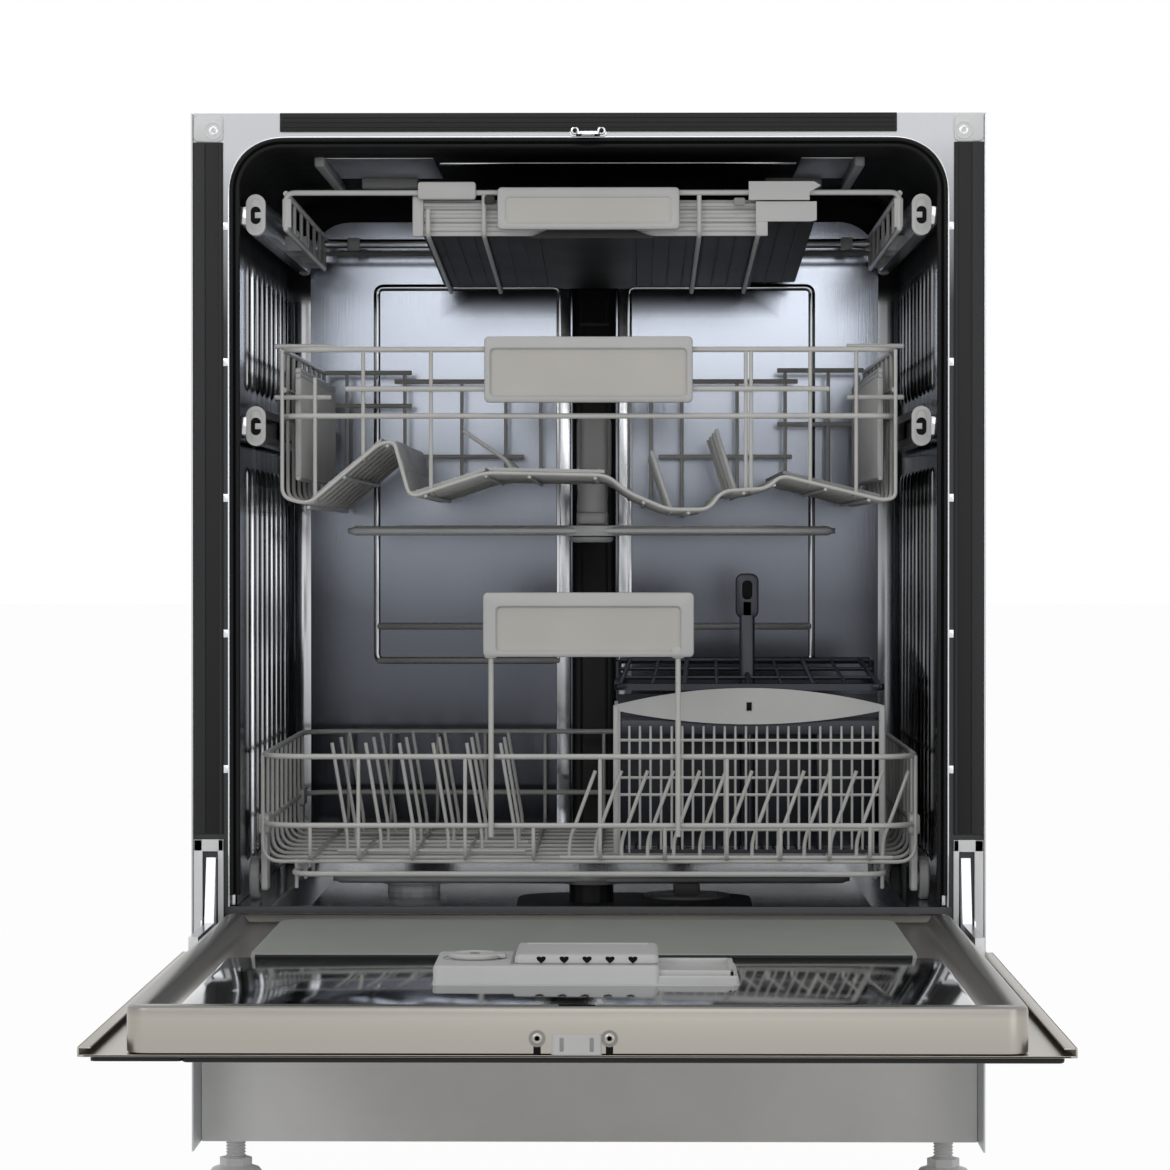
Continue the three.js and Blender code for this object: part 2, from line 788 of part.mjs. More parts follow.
function tubFloor() {
  const half = tubHalf + tubWall;
  const slopeEnd = ledgeInner - ledgeSlope;
  const under = (x, z) => [x, z - floorSheet];
  const profile = outline([
    [-half, ledgeLevel], [-ledgeInner, ledgeLevel], [-slopeEnd, floorLevel],
    [slopeEnd, floorLevel], [ledgeInner, ledgeLevel], [half, ledgeLevel],
    under(half, ledgeLevel), under(ledgeInner, ledgeLevel),
    under(slopeEnd, floorLevel), under(-slopeEnd, floorLevel),
    under(-ledgeInner, ledgeLevel), under(-half, ledgeLevel),
  ]);
  const pan = alongY(profile, tubFront, tubBack);
  const lip = block(-ledgeInner, ledgeInner, tubFront, tubFront + floorLip,
    floorLevel - floorSheet, ledgeLevel);
  const heel = block(-ledgeInner, ledgeInner, tubBack - floorLip, tubBack,
    floorLevel - floorSheet, ledgeLevel);
  const sumpHole = alongZ(sumpShape(gap), floorLevel - 2 * overrun, floorLevel + overrun);
  const saltHole = bar(axisZ, saltX, saltY, floorLevel - 2 * overrun, floorLevel + overrun,
    saltRadius - saltRib + gap);
  return cut(join([pan, lip, heel]), [sumpHole, saltHole]);
}

// Water feed column on the back wall, with the dock for the upper basket

function waterFeedColumn() {
  const back = tubBack - gap;
  const front = back - columnDepth;
  const column = alongZ(outline([[-columnHalf, back], [-columnHalf * columnFrontShare, front],
    [columnHalf * columnFrontShare, front], [columnHalf, back]]), ledgeLevel + gap, columnTop);
  const dock = block(-dockHalf, dockHalf, front - dockReach, back - columnDepth / 2, dockBottom, dockTop);
  return column.add(dock);
}

// Sump with the filter seat and the hub of the lower spray arm

function sumpShape(margin) {
  return roundedRect(sumpX - sumpWidth / 2 - margin, sumpX + sumpWidth / 2 + margin,
    armAxisY - sumpLength / 2 + sumpWall - margin, armAxisY + sumpLength / 2 + sumpWall + margin, sumpRadius);
}

function sumpHousing() {
  const body = alongZ(sumpShape(0), sumpBottom, floorLevel);
  const rimTop = floorLevel - floorSheet - gap;
  const rim = alongZ(sumpShape(sumpRim), rimTop - sumpWall, rimTop);
  const hub = bar(axisZ, 0, armAxisY, sumpBottom + sumpWall, hubTop, armBore - gap);
  const shoulder = bar(axisZ, 0, armAxisY, sumpBottom + sumpWall, hubTop - armThickness, hubRadius);
  const well = bar(axisZ, filterX, filterY, sumpBottom + sumpWall, floorLevel + overrun,
    turningRoom(filterRadius + gap));
  return cut(join([body, rim, hub, shoulder]), [well]);
}

function filterCup() {
  const cup = turned([[0, filterBottom], [filterRadius - sumpWall, filterBottom],
    [filterRadius - sumpWall, floorLevel - sumpWall], [filterRadius, floorLevel - sumpWall],
    [filterRadius, filterTop], [filterRadius - 2 * sumpWall, filterTop],
    [filterRadius - 2 * sumpWall, filterBottom + sumpWall], [0, filterBottom + sumpWall]]);
  const grip = block(-filterRadius + sumpWall, filterRadius - sumpWall, -filterGrip / 2, filterGrip / 2,
    filterTop - sumpWall, filterTop + filterGripHeight);
  return cup.add(grip);
}

function circulationPump() {
  const level = footHeight + trayWall + gap + pumpRadius;
  const body = bar(axisX, armAxisY, level, pumpX - pumpLength, pumpX - overrun, pumpRadius);
  const motor = bar(axisX, armAxisY, level, pumpX - pumpLength - pumpRadius / 2, pumpX - pumpLength + overrun,
    pumpRadius * pumpMotorShare);
  const outlet = bar(axisZ, pumpX - pumpOutlet * 2, armAxisY, level, sumpBottom + 2 * pumpOutlet, pumpOutlet);
  const duct = bar(axisX, armAxisY, sumpBottom + ductRise, pumpX - pumpOutlet * 2,
    sumpX - sumpWidth / 2 - gap, pumpOutlet);
  return join([body, motor, outlet, duct]);
}

function softenerTank() {
  const [x, y] = softenerLow;
  const [w, l, h] = softenerSize;
  const bottom = footHeight + trayWall + gap;
  const tank = alongZ(roundedRect(x, x + w, y, y + l, saltRadius / 2), bottom, bottom + h);
  const neck = bar(axisZ, saltX, saltY, bottom, saltNeckTop, saltRadius - saltRib);
  const bore = bar(axisZ, saltX, saltY, bottom + h / 2, saltNeckTop + overrun,
    turningRoom(saltRadius - 2 * saltRib));
  const seat = bar(axisZ, saltX, saltY, bottom + h / 2, floorLevel - floorSheet - gap, saltRadius);
  return cut(join([tank, seat, neck]), [bore]);
}

function saltCap() {
  const bottom = saltNeckTop + gap;
  const disc = turned([[0, bottom], [saltRadius, bottom], [saltRadius, bottom + saltCapHeight / 2],
    [0, bottom + saltCapHeight / 2]]);
  const plug = turned([[0, bottom - saltRib], [saltRadius - 2 * saltRib - gap, bottom - saltRib],
    [saltRadius - 2 * saltRib - gap, bottom + saltRib / 2], [0, bottom + saltRib / 2]]);
  const grip = block(-saltRadius + saltRib, saltRadius - saltRib, -saltRib / 2, saltRib / 2,
    bottom + saltCapHeight / 4, bottom + saltCapHeight);
  return join([disc, plug, grip]);
}

// Spray arms: a flat blade about its own hub, with slotted jets on top

function sprayArm(radius) {
  const blade = outline([[-radius, -armTipHalf], [-radius / 2, -armHalfWidth], [radius / 2, -armHalfWidth],
    [radius, -armTipHalf], [radius, armTipHalf], [radius / 2, armHalfWidth], [-radius / 2, armHalfWidth],
    [-radius, armTipHalf]]);
  const round = bar(axisZ, 0, 0, -overrun, armThickness + overrun, radius, 2 * roundSegments);
  const body = alongZ(blade, 0, armThickness).intersect(round);
  const jetX = spread(jetCount, ...jetSpanShares.map((share) => share * radius));
  const jets = sides.flatMap(([, side]) => jetX.map((x, i) => {
    const y = (i % 2) * side * armTipHalf / 2;
    return block(side * x - jetWidth / 2, side * x + jetWidth / 2, y - jetLength / 2, y + jetLength / 2,
      armThickness - jetWidth, armThickness + overrun);
  }));
  return cut(body, [...jets, bar(axisZ, 0, 0, -overrun, armThickness + overrun, armBore)]);
}

// Door skin: the outer panel, which runs on past the hinge above the kick recess

function doorSkin() {
  const plate = block(-halfWidth, halfWidth, -doorReach, skinBack, skinLevel, skinLevel + sheet);
  const lips = sides.map(([, side]) => block(side * (halfWidth - sheet), side * halfWidth, -doorReach,
    skinLipBack, skinLevel, skinLevel + sheet + skinLip));
  return join([plate, ...lips]);
}

// Door liner: a pan with a raised rim, open below, with cut-outs for dispenser and latch

function doorLiner() {
  const far = -doorReach + linerSetback;
  const outerShape = roundedRect(-openingHalf, openingHalf, far, linerBack, linerCorner);
  const outer = alongZ(outerShape, doorLayerZ, linerRim);
  const hollow = alongZ(roundedRect(-openingHalf + linerSheet, openingHalf - linerSheet, far + linerSheet,
    linerBack - linerSheet, linerCorner - linerSheet), doorLayerZ - overrun, linerFloor - linerSheet);
  const recess = alongZ(roundedRect(-openingHalf + linerBorder, openingHalf - linerBorder, far + linerBorder,
    linerBack - linerBorder, linerCorner), linerFloor, linerRim + overrun);
  const dispenserHole = block(dispenserX - dispenserWidth / 2 + dispenserFlange,
    dispenserX + dispenserWidth / 2 - dispenserFlange, dispenserBack - dispenserLength + dispenserFlange,
    dispenserBack - dispenserFlange, doorLayerZ, linerRim);
  const tongueSlot = block(-latchSlotHalf, latchSlotHalf, -latchSlotFar, -latchSlotNear,
    doorLayerZ, linerRim + overrun);
  const latchHole = block(-latchHalf - gap, latchHalf + gap, far - overrun, far + latchLength,
    doorLayerZ - overrun, latchTop + gap);
  const keyholes = keyholeShares.map((share) => bar(axisY, share * latchHalf, keyholeZ, far - overrun,
    far + overrun, screwRadius / 2));
  return cut(outer, [hollow, recess, dispenserHole, tongueSlot, latchHole, ...keyholes]);
}

// Dispenser: a block in the liner with the detergent cup, its lid track and the rinse-aid filler

function dispenserBody() {
  const left = dispenserX - dispenserWidth / 2;
  const right = dispenserX + dispenserWidth / 2;
  const near = dispenserBack;
  const far = dispenserBack - dispenserLength;
  const inset = dispenserFlange + gap;
  const flange = alongZ(roundedRect(left, right, far, near, 2 * dispenserFlange), linerFloor + gap,
    dispenserTop);
  const well = block(left + inset, right - inset, far + inset, near - inset, dispenserDepth,
    dispenserTop - overrun);
  const track = block(lidX + lidWidth / 2 + gap, right + overrun, far - overrun, near + overrun,
    dispenserTrackTop, dispenserTop + overrun);
  const cupY = (near + far) / 2;
  const cup = block(lidX - cupWidth / 2, lidX + cupWidth / 2, cupY - cupLength / 2, cupY + cupLength / 2,
    cupBottom, dispenserTop + overrun);
  const filler = bar(axisZ, rinseX, cupY, cupBottom, dispenserTop + overrun, rinseRadius / 2);
  return cut(flange.add(well), [track, cup, filler]);
}

function detergentLid() {
  const half = lidLength / 2;
  const profile = outline([[-half, 0], [half, 0], [half, lidThickness - lidBevel],
    [half - lidBevel, lidThickness], [-half + lidBevel, lidThickness], [-half, lidThickness - lidBevel]]);
  const lid = alongX(profile, -lidWidth / 2, lidWidth / 2);
  const mark = outline([[-lidMarkSize, -lidMarkSize / 2], [lidMarkSize, -lidMarkSize / 2],
    [0, lidMarkSize / 2]]);
  const marks = spread(lidMarks, -lidMarkPitch * (lidMarks - 1) / 2, lidMarkPitch * (lidMarks - 1) / 2);
  const sockets = marks.map((x) => {
    const geometry = geometryOf(alongZ(mark, lidThickness / 2, lidThickness + overrun));
    geometry.translate(x, -half + 2 * lidBevel + lidMarkSize, 0);
    return solidOf(geometry);
  });
  return cut(lid, sockets);
}

function rinseAidCap() {
  const disc = turned([[0, 0], [rinseRadius, 0], [rinseRadius, rinseThickness / 2],
    [rinseRadius - rinseThickness / 2, rinseThickness], [0, rinseThickness]]);
  const tab = block(0, rinseRadius + rinseTab / 2, -rinseTab / 2, rinseTab / 2, 0, rinseThickness / 2);
  return disc.add(tab);
}

// Latch: a housing in the end wall of the door and a hook behind the tongue slot

function latchHousing() {
  const far = -doorReach;
  const bodyBlock = block(-latchHalf, latchHalf, far, far + latchLength, doorLayerZ + gap, latchTop);
  const slot = block(-latchSlotHalf, latchSlotHalf, -latchSlotFar, -latchSlotNear, latchSlotBottom,
    latchTop + overrun);
  const hookRoom = block(-hookHalf - gap, hookHalf + gap, -latchSlotFar, far + latchLength + overrun,
    hookBottom - gap, latchTop + overrun);
  return cut(bodyBlock, [slot, hookRoom]);
}

function latchHook() {
  const body = block(-hookHalf, hookHalf, 0, hookLength, -hookHeight / 2, 0);
  const beak = block(-hookHalf, hookHalf, 0, hookLength / 4, -hookHeight / 2, hookHeight / 2);
  return body.add(beak);
}

// Hinge levers: an L of flat bar with a bore on the hinge pin, fixed to the door

function hingeLever(side) {
  const profile = outline([
    [-leverFoot, -hingeZ + doorLayerZ], [leverLegWidth / 2, -hingeZ + doorLayerZ],
    [leverLegWidth + leverLegWidth / 2, leverLegHeight - leverLegWidth],
    [leverLegWidth + leverLegWidth / 2, leverLegHeight], [leverLegWidth / 2, leverLegHeight],
    [-leverLegWidth / 2, leverHeight / 2], [-leverFoot, leverHeight / 2]]);
  const outer = side * (leverInner + leverThickness);
  const bore = bar(axisX, 0, 0, side * (leverInner - overrun), outer + side * overrun,
    hingePinRadius + hingePinClearance);
  return cut(alongX(profile, side * leverInner, outer), [bore]);
}

function hingeSpring(side) {
  const x = side * (leverInner + leverThickness / 2);
  const from = new THREE.Vector3(x, hingeY + 1.5 * leverLegWidth + springRadius / 4 + gap,
    hingeZ + leverLegHeight - springInset);
  const to = new THREE.Vector3(x, springPostY - springRadius / 4 - gap,
    trayTop + springPostHeight - springInset);
  const along = to.clone().sub(from);
  const geometry = new THREE.CylinderGeometry(springRadius, springRadius, along.length(), roundSegments / 2);
  geometry.applyQuaternion(new THREE.Quaternion().setFromUnitVectors(axisY, along.clone().normalize()));
  geometry.translate((from.x + to.x) / 2, (from.y + to.y) / 2, (from.z + to.z) / 2);
  return solidOf(geometry);
}

// Control fascia on the outer face near the door's upper edge, with one push button

function controlFascia() {
  const top = skinLevel - gap;
  const plate = alongZ(roundedRect(-fasciaHalf, fasciaHalf, -fasciaFar, -fasciaFar + fasciaWidth,
    buttonRadius), top - fasciaThickness, top);
  const hole = bar(axisZ, buttonX, -fasciaFar + fasciaWidth / 2, top - fasciaThickness - overrun,
    top + overrun, buttonRadius + gap);
  return cut(plate, [hole]);
}

function powerButton() {
  return turned([[0, 0], [buttonRadius - sheet, 0], [buttonRadius, sheet], [buttonRadius, buttonHeight],
    [0, buttonHeight]]);
}

// Handles of the racks: a rounded plate with a recessed panel

function rackHandle(half, bottom, height, front) {
  const plate = alongY(roundedRect(-half, half, bottom, bottom + height, handleRadius), front,
    front + handleThickness);
  const panel = alongY(roundedRect(-half + handleBorder, half - handleBorder, bottom + handleBorder,
    bottom + height - handleBorder / 2, handleRadius / 2), front - overrun, front + handlePanel);
  return cut(plate, [panel]);
}

// The lower handle stands on two rods that lie against the front of the rims
function lowerRackHandle(front) {
  const back = front + handleThickness;
  const rods = handleRodShares.map((share) => share * lowerHandleHalf).map((x) =>
    block(x - wire, x + wire, back - 2 * wire, back, lowerMidLevel - handleRodTail,
      lowerHandleBottom + handleRadius));
  return join([rackHandle(lowerHandleHalf, lowerHandleBottom, lowerHandleHeight, front), ...rods]);
}

// Telescopic rails: a channel with rounded end caps, open towards the basket

function rackRail(side, bottom, height) {
  const inner = side * railInner;
  const outer = side * (railInner + railThickness);
  const channel = block(inner, outer, railFront, railBack, bottom, bottom + height);
  const room = block(side * (railInner - overrun), outer - side * railWall, railFront + 2 * railWall,
    railBack - 2 * railWall, bottom + railWall, bottom + height - railWall);
  return cut(channel, [room]);
}

// Upper basket: wavy cross wires, straight long wires, three rim wires and side tabs in the rails

function rimLoop(half, level, halfWire) {
  return alongZ(rectangleLoop(-half, half, basketFront, basketBack, wireBend, halfWire),
    level - halfWire, level + halfWire);
}

function upright(x, y, from, to) {
  return block(x - fineWire, x + fineWire, y - fineWire, y + fineWire, from, to);
}

function upperBasket() {
  const place = ([x, rise]) => [x * upperHalf, upperFloorLevel + rise * upperWaveHeight];
  const floor = upperWaveShares.map(place);
  const profile = [[-upperHalf, upperRimLevel], ...floor, [upperHalf, upperRimLevel]];
  const runs = upperLongShares.map(place);
  const cross = spread(upperCrossCount, basketFront, basketBack).map((y) =>
    alongY(ribbon(profile, fineWire), y - fineWire, y + fineWire));
  const long = runs.map(([x, z]) => block(x - fineWire, x + fineWire, basketFront, basketBack,
    z - 2 * fineWire, z));
  const rims = [upperRimLevel, upperMidLevel, upperLowLevel].map((z) => rimLoop(upperHalf, z, wire));
  const ends = runs.slice(1, -1).flatMap(([x, z]) => [basketFront, basketBack].map((y) =>
    upright(x, y, z - fineWire, upperRimLevel)));
  const tabMiddle = upperRailBottom + upperRailHeight / 2;
  const tabY = sideTabSetback.map((back) => basketBack - back);
  const tabs = sides.flatMap(([, side]) => tabY.map((y) => block(side * (upperHalf - wire / 2),
    side * (railInner + railThickness - railWall - gap), y, y + sideTabLength,
    tabMiddle - sideTabHeight / 2, tabMiddle + sideTabHeight)));
  const shelfEnds = [shelfFront - gap - shelfBracket, shelfBack + gap];
  const brackets = sides.flatMap(([, side]) => shelfEnds.map((y) => block(side * upperHalf,
    side * (shelfX - shelfBracket), y, y + shelfBracket, upperMidLevel, shelfTop + shelfBracket)));
  return join([...rims, ...cross, ...long, ...tabs, ...ends, ...brackets]);
}

// Cup shelf: a ribbed plate that hangs along the basket's side and folds up about its upper edge

function cupShelf(side) {
  const plate = block(-shelfThickness / 2, shelfThickness / 2, shelfFront, shelfBack, -shelfDrop, 0);
  const ribs = spread(shelfRibCount, shelfFront + shelfRibDepth, shelfBack - shelfRibDepth).map((y) =>
    block(0, -side * (shelfThickness / 2 + shelfRibDepth), y - shelfRibDepth, y + shelfRibDepth,
      -shelfDrop, -shelfRibDepth));
  const pivot = bar(axisY, 0, 0, shelfFront, shelfBack, shelfThickness, roundSegments / 2);
  return join([plate, pivot, ...ribs]);
}

// Feed tube under the upper basket, from the dock on the back wall to the spray arm's hub

function sprayFeedTube() {
  const low = upperArmLevel + armThickness + 2 * gap;
  const back = tubBack - 2 * gap - columnDepth - dockReach;
  const run = block(-feedHalf, feedHalf, armAxisY, back, low, low + feedThickness);
  const rise = block(-feedHalf, feedHalf, back - feedRise, back, low, dockTop);
  const basketUnderside = upperFloorLevel + upperHubShare * upperWaveHeight - 2 * fineWire;
  const nut = bar(axisZ, 0, armAxisY, low, basketUnderside - gap, feedHalf);
  const stem = bar(axisZ, 0, armAxisY, upperArmLevel - 2 * gap, low + gap, armBore - gap);
  const washer = bar(axisZ, 0, armAxisY, upperArmLevel - feedThickness / 2, upperArmLevel - gap, hubRadius);
  return join([run, rise, nut, stem, washer]);
}

// Cutlery tray: a wire frame that rides in its own rails, with a ribbed insert and a handle

function trayFrame() {
  const frame = alongZ(rectangleLoop(-trayHalf, trayHalf, basketFront, trayBack, wireBend, wire),
    trayLegLevel - wire, trayLegLevel + wire);
  const frontWire = alongY(ribbon([[-trayHalf, trayLegLevel - wire], [-trayHalf, trayWireLevel],
    [trayHalf, trayWireLevel], [trayHalf, trayLegLevel - wire]], wire),
  basketFront - wire, basketFront + wire);
  const long = trayLongShares.map((share) => share * trayHalf).map((x) => alongX(ribbon([
    [basketFront, trayWireLevel], [basketFront, trayUnderLevel],
    [trayBack, trayUnderLevel], [trayBack, trayLegLevel + wire],
  ], fineWire), x - fineWire, x + fineWire));
  const cross = spread(trayCrossCount, basketFront + insertFront, trayBack - insertFront).map((y) =>
    alongY(ribbon([[-trayHalf, trayLegLevel], [-trayHalf + wireBend, trayUnderLevel - fineWire],
      [trayHalf - wireBend, trayUnderLevel - fineWire], [trayHalf, trayLegLevel]], fineWire),
    y - fineWire, y + fineWire));
  const tabMiddle = trayRailBottom + trayRailHeight / 2;
  const tabY = sideTabSetback.map((back) => basketBack - back);
  const tabs = sides.flatMap(([, side]) => tabY.map((y) => block(side * trayHalf,
    side * (railInner + railThickness - railWall - gap), y, y + sideTabLength,
    trayLegLevel - wire, tabMiddle + wire)));
  return join([frame, frontWire, ...long, ...cross, ...tabs]);
}

function trayInsert() {
  const right = insertHalf + insertExtension;
  const outer = block(-insertHalf, right, insertFront, insertBack, insertBottom, insertBottom + insertHeight);
  const hollow = block(-insertHalf + insertRib, right - insertRib, insertFront + insertRib,
    insertBack - insertRib, insertBottom + insertFloor, insertBottom + insertHeight + overrun);
  const ribs = spread(insertRibCount, -insertHalf, right).slice(1, -1).map((x) =>
    block(x - insertRib / 2, x + insertRib / 2, insertFront + insertRib / 2, insertBack - insertRib / 2,
      insertBottom + insertFloor / 2, insertBottom + insertHeight / 2));
  return join([cut(outer, [hollow]), ...ribs]);
}

// Lower basket: U-shaped wires both ways, two rim wires, a bottom frame, tines and wheel axles

function tine(x, y, lean, height) {
  const shape = ribbon([[x, lowerFloorLevel + fineWire], [x + lean, lowerFloorLevel + height]], fineWire);
  return alongY(shape, y - fineWire, y + fineWire);
}

// Rows of tines across the basket, each on a floor wire of its own
function tineRows(shares, count, rowShares, lean, height) {
  const [start, end] = shares.map((share) => share * lowerHalf);
  return rowShares.map((share) => basketFront + share * (basketBack - basketFront)).flatMap((y) => [
    block(start - tineRowOverhang, end + tineRowOverhang, y - wire, y + wire, lowerFloorLevel,
      lowerFloorLevel + 2 * fineWire),
    ...spread(count, start, end).map((x) => tine(x, y, lean, height)),
  ]);
}

function lowerBasket() {
  const rims = [lowerRimLevel, lowerMidLevel].map((z) => rimLoop(lowerHalf, z, wire));
  const cross = spread(lowerCrossCount, basketFront, basketBack).map((y) => alongY(ribbon([
    [-lowerHalf, lowerRimLevel], [-lowerHalf, lowerFloorLevel - fineWire],
    [lowerHalf, lowerFloorLevel - fineWire], [lowerHalf, lowerRimLevel],
  ], fineWire), y - fineWire, y + fineWire));
  const long = lowerLongShares.map((share) => share * lowerHalf).map((x) => alongX(ribbon([
    [basketFront, lowerRimLevel], [basketFront, lowerFloorLevel], [basketBack, lowerFloorLevel],
    [basketBack, lowerRimLevel]], fineWire), x - fineWire, x + fineWire));
  const frame = alongZ(rectangleLoop(-lowerFrameHalf, lowerFrameHalf, basketFront + wireBend,
    basketBack - wireBend, wireBend, wire), lowerFrameLevel - wire, lowerFrameLevel + wire);
  const legs = sides.flatMap(([, side]) => spread(lowerCrossCount, basketFront, basketBack).slice(1, -1)
    .map((y) => upright(side * lowerFrameHalf, y, lowerFrameLevel, lowerFloorLevel)));
  const tines = [
    ...tineRows(leftTineShares, leftTineCount, leftRowShares, -tineLean, tineHeight),
    ...tineRows(rearTineShares, rearTineCount, rearRowShares, tineLean, tineHeight),
    ...tineRows(frontTineShares, frontTineCount, frontRowShares, frontTineLean, frontTineHeight),
  ];
  const axles = sides.flatMap(([, side]) => wheelY.map((y) => {
    const end = side * (wheelSeat + wheelWidth);
    const stub = bar(axisX, y, ledgeLevel + gap + wheelRadius, side * lowerHalf, end, axleRadius,
      roundSegments / 2);
    const plate = block(side * (lowerHalf - wire), side * (lowerHalf + wire), y - 2 * wheelBore,
      y + 2 * wheelBore, ledgeLevel + wheelRadius - axleHeadRadius, lowerMidLevel);
    return stub.add(plate);
  }));
  return join([...rims, ...cross, ...long, frame, ...legs, ...tines, ...axles]);
}

function basketWheel() {
  const geometry = turnedGeometry([[wheelBore, -wheelWidth / 2], [wheelRadius, -wheelWidth / 2],
    [wheelRadius, wheelWidth / 2], [wheelBore, wheelWidth / 2], [wheelBore, -wheelWidth / 2]]);
  geometry.applyMatrix4(basisX);
  return solidOf(geometry);
}

// Cutlery basket: an open box with windows, a lid grid, a front crescent panel and a carrying post

function cutleryBasket() {
  const [x, y] = cutleryLow;
  const [w, l, h] = cutlerySize;
  const top = cutleryBottom + h;
  const inset = cutleryWall / 2;
  const shell = block(x, x + w, y, y + l, cutleryBottom, top);
  const hollow = block(x + cutleryWall, x + w - cutleryWall, y + cutleryWall, y + l - cutleryWall,
    cutleryBottom + cutleryWall, top + overrun);
  const windows = spread(cutleryCells[0] + 1, x, x + w).slice(0, -1).flatMap((from) =>
    spread(cutleryWindowRows + 1, cutleryBottom + 2 * cutleryWall, crescentTop - crescentHeight).slice(0, -1)
      .map((low) => block(from + 2 * cutleryWall, from + w / cutleryCells[0] - 2 * cutleryWall, y - overrun,
        y + l + overrun, low + cutleryWall, low + (crescentTop - crescentHeight - cutleryBottom)
        / cutleryWindowRows - 2 * cutleryWall)));
  const box = cut(shell, [hollow, ...windows]);
  const dividersX = spread(cutleryCells[0] + 1, x, x + w).slice(1, -1).map((at) =>
    block(at - cutleryWall / 2, at + cutleryWall / 2, y + inset, y + l - inset, cutleryBottom + inset,
      top - inset));
  const dividersY = spread(cutleryCells[1] + 1, y, y + l).slice(1, -1).map((at) =>
    block(x + inset, x + w - inset, at - cutleryWall / 2, at + cutleryWall / 2, cutleryBottom + inset,
      top - cutleryWall));
  const crescent = new THREE.Shape();
  crescent.moveTo(x + inset, crescentTop);
  crescent.quadraticCurveTo(x + w / 2, crescentTop - 2 * crescentHeight, x + w - inset, crescentTop);
  crescent.lineTo(x + w - inset, crescentTop + cutleryLid);
  crescent.lineTo(x + inset, crescentTop + cutleryLid);
  const panel = alongY(crescent, y - crescentThickness, y + inset);
  const middleX = x + w / 2;
  const middleY = y + l / 2;
  const post = block(middleX - postHalf, middleX + postHalf, middleY - postHalf, middleY + postHalf,
    cutleryBottom + inset, postTop - inset);
  const grip = block(middleX - postGrip, middleX + postGrip, middleY - postHalf + inset,
    middleY + postHalf - inset, postTop - postGripHeight, postTop);
  const gripHole = block(middleX - postGrip + postHalf, middleX + postGrip - postHalf,
    middleY - postHalf - overrun, middleY + postHalf + overrun, postTop - postGripHeight + postHalf,
    postTop - postHalf);
  return cut(join([box, ...dividersX, ...dividersY, panel, post, grip]), [gripHole]);
}

// Assembly: the cabinet, the door and the three racks, each in its own group

const dishwasher = new THREE.Group();
dishwasher.position.y = cabinetShift;

function add(name, solid, material, position = [0, 0, 0], parent = dishwasher) {
  const mesh = part(name, solid, material);
  mesh.position.set(...position);
  parent.add(mesh);
}

const footSolid = foot();
footPlaces.forEach(([name, side, y]) => add(name, footSolid, white, [side * footX, y, 0]));
add('base_tray', baseTray(), white);
add('rear_cover', rearCover(), dullSteel);
add('front_frame', frontFrame(), steel);
add('top_strip', topStrip(), darkGrey);
add('door_seal', doorSeal(), blackRubber);
add('latch_striker', latchStriker(), steel);
add('tub_shell', tubShell(), steel);
add('tub_floor', tubFloor(), steel);
add('water_feed_column', waterFeedColumn(), darkGrey);
add('sump_housing', sumpHousing(), darkGrey);
add('filter_cup', filterCup(), lightGrey, [filterX, filterY, 0]);
add('circulation_pump', circulationPump(), darkGrey);
add('softener_tank', softenerTank(), white);
add('salt_cap', saltCap(), lightGrey, [saltX, saltY, 0]);
add('lower_spray_arm', sprayArm(lowerArmRadius), midGrey, [0, armAxisY, hubTop - armThickness + gap]);
sides.forEach(([name, side]) => {
  add(`side_panel_${name}`, sidePanel(side), dullSteel);
  add(`side_strip_${name}`, sideStrip(side), darkGrey);
  add(`corner_cap_${name}`, cornerCap(side), white);
  add(`hinge_cover_${name}`, hingeCover(side), white);
  add(`hinge_spring_${name}`, hingeSpring(side), dullSteel);
});

const door = new THREE.Group();
dishwasher.add(door);
const dispenserMiddleY = dispenserBack - dispenserLength / 2;
add('door_skin', doorSkin(), steel, [0, 0, 0], door);
add('door_liner', doorLiner(), steel, [0, 0, 0], door);
add('dispenser_body', dispenserBody(), lightGrey, [0, 0, 0], door);
add('detergent_lid', detergentLid(), lightGrey, [lidX, dispenserMiddleY, dispenserTop + gap], door);
add('rinse_aid_cap', rinseAidCap(), lightGrey, [rinseX, dispenserMiddleY, dispenserTop + gap], door);
add('latch_housing', latchHousing(), lightGrey, [0, 0, 0], door);
add('latch_hook', latchHook(), steel, [0, -latchSlotNear + gap, hookBottom + hookHeight], door);
add('control_fascia', controlFascia(), darkGrey, [0, 0, 0], door);
add('power_button', powerButton(), midGrey,
  [buttonX, -fasciaFar + fasciaWidth / 2, skinLevel - gap - buttonTravel - buttonHeight], door);
sides.forEach(([name, side]) =>
  add(`hinge_lever_${name}`, hingeLever(side), steel, [0, hingeY, hingeZ], door));

const upperRack = new THREE.Group();
dishwasher.add(upperRack);
const handleFront = basketFront - wire - gap - handleThickness;
add('upper_basket', upperBasket(), wireCoat, [0, 0, 0], upperRack);
add('upper_handle', rackHandle(upperHandleHalf, upperHandleBottom, upperHandleHeight, handleFront),
  lightGrey, [0, 0, 0], upperRack);
add('upper_spray_arm', sprayArm(upperArmRadius), midGrey, [0, armAxisY, upperArmLevel], upperRack);
add('spray_feed_tube', sprayFeedTube(), midGrey, [0, 0, 0], upperRack);
sides.forEach(([name, side]) => {
  add(`cup_shelf_${name}`, cupShelf(side), midGrey, [side * shelfX, 0, shelfTop], upperRack);
  add(`upper_rail_${name}`, rackRail(side, upperRailBottom, upperRailHeight), lightGrey);
  add(`tray_rail_${name}`, rackRail(side, trayRailBottom, trayRailHeight), lightGrey);
});

